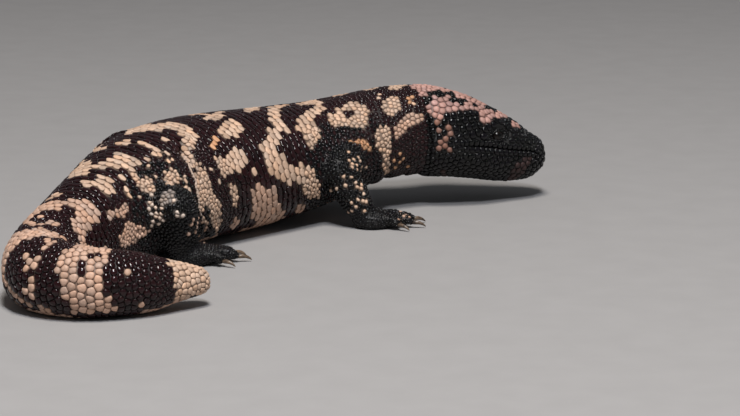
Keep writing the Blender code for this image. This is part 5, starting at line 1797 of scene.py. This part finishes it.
def eye_material():
    material, tree = new_material("wet_eye")
    reach = add_node(tree, "ShaderNodeAttribute", attribute_name="pupil_reach")
    place = add_node(tree, "ShaderNodeTexCoord")
    streak = add_node(tree, "ShaderNodeTexNoise", {"Scale": 1500.0, "Detail": 3.0},
                      {"Vector": place.outputs["Object"]})
    mixed = add_node(tree, "ShaderNodeMath", {1: 0.12}, {0: streak.outputs["Fac"], 2: reach.outputs["Fac"]},
                     operation="MULTIPLY_ADD")
    ramp = add_node(tree, "ShaderNodeValToRGB", links={"Fac": mixed.outputs["Value"]})
    stops = ramp.color_ramp.elements
    stops[0].position, stops[0].color = 0.30, linear("#050404")
    stops[1].position, stops[1].color = 0.36, linear("#150C08")
    outer = stops.new(0.62)
    outer.color = linear("#0A0605")
    ball = add_node(tree, "ShaderNodeBsdfPrincipled", {"Roughness": 0.1, "Specular IOR Level": 0.35},
                    {"Base Color": ramp.outputs["Color"]})
    add_node(tree, "ShaderNodeOutputMaterial", links={"Surface": ball.outputs["BSDF"]})
    return material


WET_EYE = eye_material()


def make_eye(node, side):
    low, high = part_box(node)
    middle = (low + high) / 2
    deselect()
    bpy.ops.mesh.primitive_uv_sphere_add(segments=40, ring_count=24, radius=(EYE_RADIUS - EYE_SHELL) * MM,
                                         location=(0, 0, 0))
    eye = bpy.context.object
    eye.name = eye.data.name = node + "_ball"
    outward = Vector(outward_at(EYE_BACK, EYE_TURN * side))
    turned = Vector((0, 0, 1)).rotation_difference(outward).to_matrix()
    turned_places = [turned @ v.co for v in eye.data.vertices]
    reach = [math.acos(max(-1, min(1, v.co.z / v.co.length))) for v in eye.data.vertices]
    for vertex, place, angle in zip(eye.data.vertices, turned_places, reach):
        bulge = 1 + EYE_BULGE * math.exp(-((angle / BULGE_ANGLE) ** 2))
        vertex.co = middle + place * bulge
    layer = eye.data.attributes.new("pupil_reach", "FLOAT", "POINT")
    layer.data.foreach_set("value", [angle / math.pi * 2 for angle in reach])
    eye.data.shade_smooth()
    eye.data.materials.append(WET_EYE)
    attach(eye, "root")
    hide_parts(node)
    return eye


for node, side in (("eye_right", 1), ("eye_left", -1)):
    eye = make_eye(node, side)

# %% [markdown]
# ## Claws
# The claws are strong, curved and blunt from digging. Each solid claw already has the right bend, so its
# copy is merged, rounded off with a subdivision surface, and given the streaked horn of a real claw.

# %% Claws
def claw_material():
    material, tree = new_material("claw_horn")
    place = add_node(tree, "ShaderNodeTexCoord")
    streak = add_node(tree, "ShaderNodeTexNoise", {"Scale": 700.0, "Detail": 4.0, "Distortion": 0.6},
                      {"Vector": place.outputs["Object"]})
    ramp = add_node(tree, "ShaderNodeValToRGB", links={"Fac": streak.outputs["Fac"]})
    low, high = ramp.color_ramp.elements
    low.position, low.color = 0.34, linear("#2E2620")
    high.position, high.color = 0.68, linear("#7A6653")
    bump = add_node(tree, "ShaderNodeBump", {"Strength": 0.25, "Distance": 0.00008},
                    {"Height": streak.outputs["Fac"]})
    horn = add_node(tree, "ShaderNodeBsdfPrincipled", {"Roughness": 0.34},
                    {"Base Color": ramp.outputs["Color"], "Normal": bump.outputs["Normal"]})
    add_node(tree, "ShaderNodeOutputMaterial", links={"Surface": horn.outputs["BSDF"]})
    return material


CLAW_HORN = claw_material()
claws = []
for node in sorted(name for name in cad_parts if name.startswith("claw")):
    claw = add_object(node + "_horn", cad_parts[node].data.copy())
    claw.data.materials.clear()
    claw.data.materials.append(CLAW_HORN)
    make_active(claw)
    bpy.ops.object.mode_set(mode="EDIT")
    bpy.ops.mesh.select_all(action="SELECT")
    bpy.ops.mesh.remove_doubles(threshold=WELD)
    bpy.ops.mesh.tris_convert_to_quads()
    bpy.ops.object.mode_set(mode="OBJECT")
    shape_by(claw, "SUBSURF", levels=1, render_levels=1)
    claw.data.shade_smooth()
    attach(claw, "root")
    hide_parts(node)
    claws.append(claw)
print("claws:", len(claws), "triangles in one:", len(claws[0].data.polygons) * 2)

# %% [markdown]
# ## Floor and light
# The animal stands on a plain pale floor in soft light from above, as under a bright overcast sky. One
# lamp stands for the sky's brightest part. A smaller one nearer the camera gives the beads that face it
# their small glints.

# %% Floor and light
FLOOR_SIZE = 8.0
deselect()
bpy.ops.mesh.primitive_plane_add(size=FLOOR_SIZE, location=(0, 0, 0))
floor = bpy.context.object
floor.name = "floor"
paper, tree = new_material("pale_floor")
place = add_node(tree, "ShaderNodeTexCoord")
grain = add_node(tree, "ShaderNodeTexNoise", {"Scale": 60.0, "Detail": 4.0},
                 {"Vector": place.outputs["Object"]})
ramp = add_node(tree, "ShaderNodeValToRGB", links={"Fac": grain.outputs["Fac"]})
low, high = ramp.color_ramp.elements
low.color, high.color = linear("#969493"), linear("#9E9C9B")
matt = add_node(tree, "ShaderNodeBsdfPrincipled", {"Roughness": 0.9}, {"Base Color": ramp.outputs["Color"]})
add_node(tree, "ShaderNodeOutputMaterial", links={"Surface": matt.outputs["BSDF"]})
floor.data.materials.append(paper)


def add_lamp(name, place, aim, size, power, tint):
    data = bpy.data.lights.new(name, "AREA")
    data.shape, data.size, data.energy = "DISK", size, power
    data.color = linear(tint)[:3]
    lamp = add_object(name, data)
    lamp.location = place
    lamp.rotation_euler = (Vector(aim) - Vector(place)).to_track_quat("-Z", "Y").to_euler()


add_lamp("sky_lamp", (0.02, -0.58, 1.45), (0, 0, 0), 0.40, 20.5, "#FFFAF4")
add_lamp("front_glint", (0.12, -1.05, 1.45), (0, 0, 0.02), 0.24, 15.0, "#F4F7FF")
world = bpy.data.worlds.new("soft_sky")
world.use_nodes = True
sky = world.node_tree.nodes["Background"]
sky.inputs["Color"].default_value = linear("#F1F4FA")
sky.inputs["Strength"].default_value = 0.15
bpy.context.scene.world = world
bpy.context.scene.view_settings.view_transform = "Standard"
print("floor and", len(bpy.data.lights), "lamps")
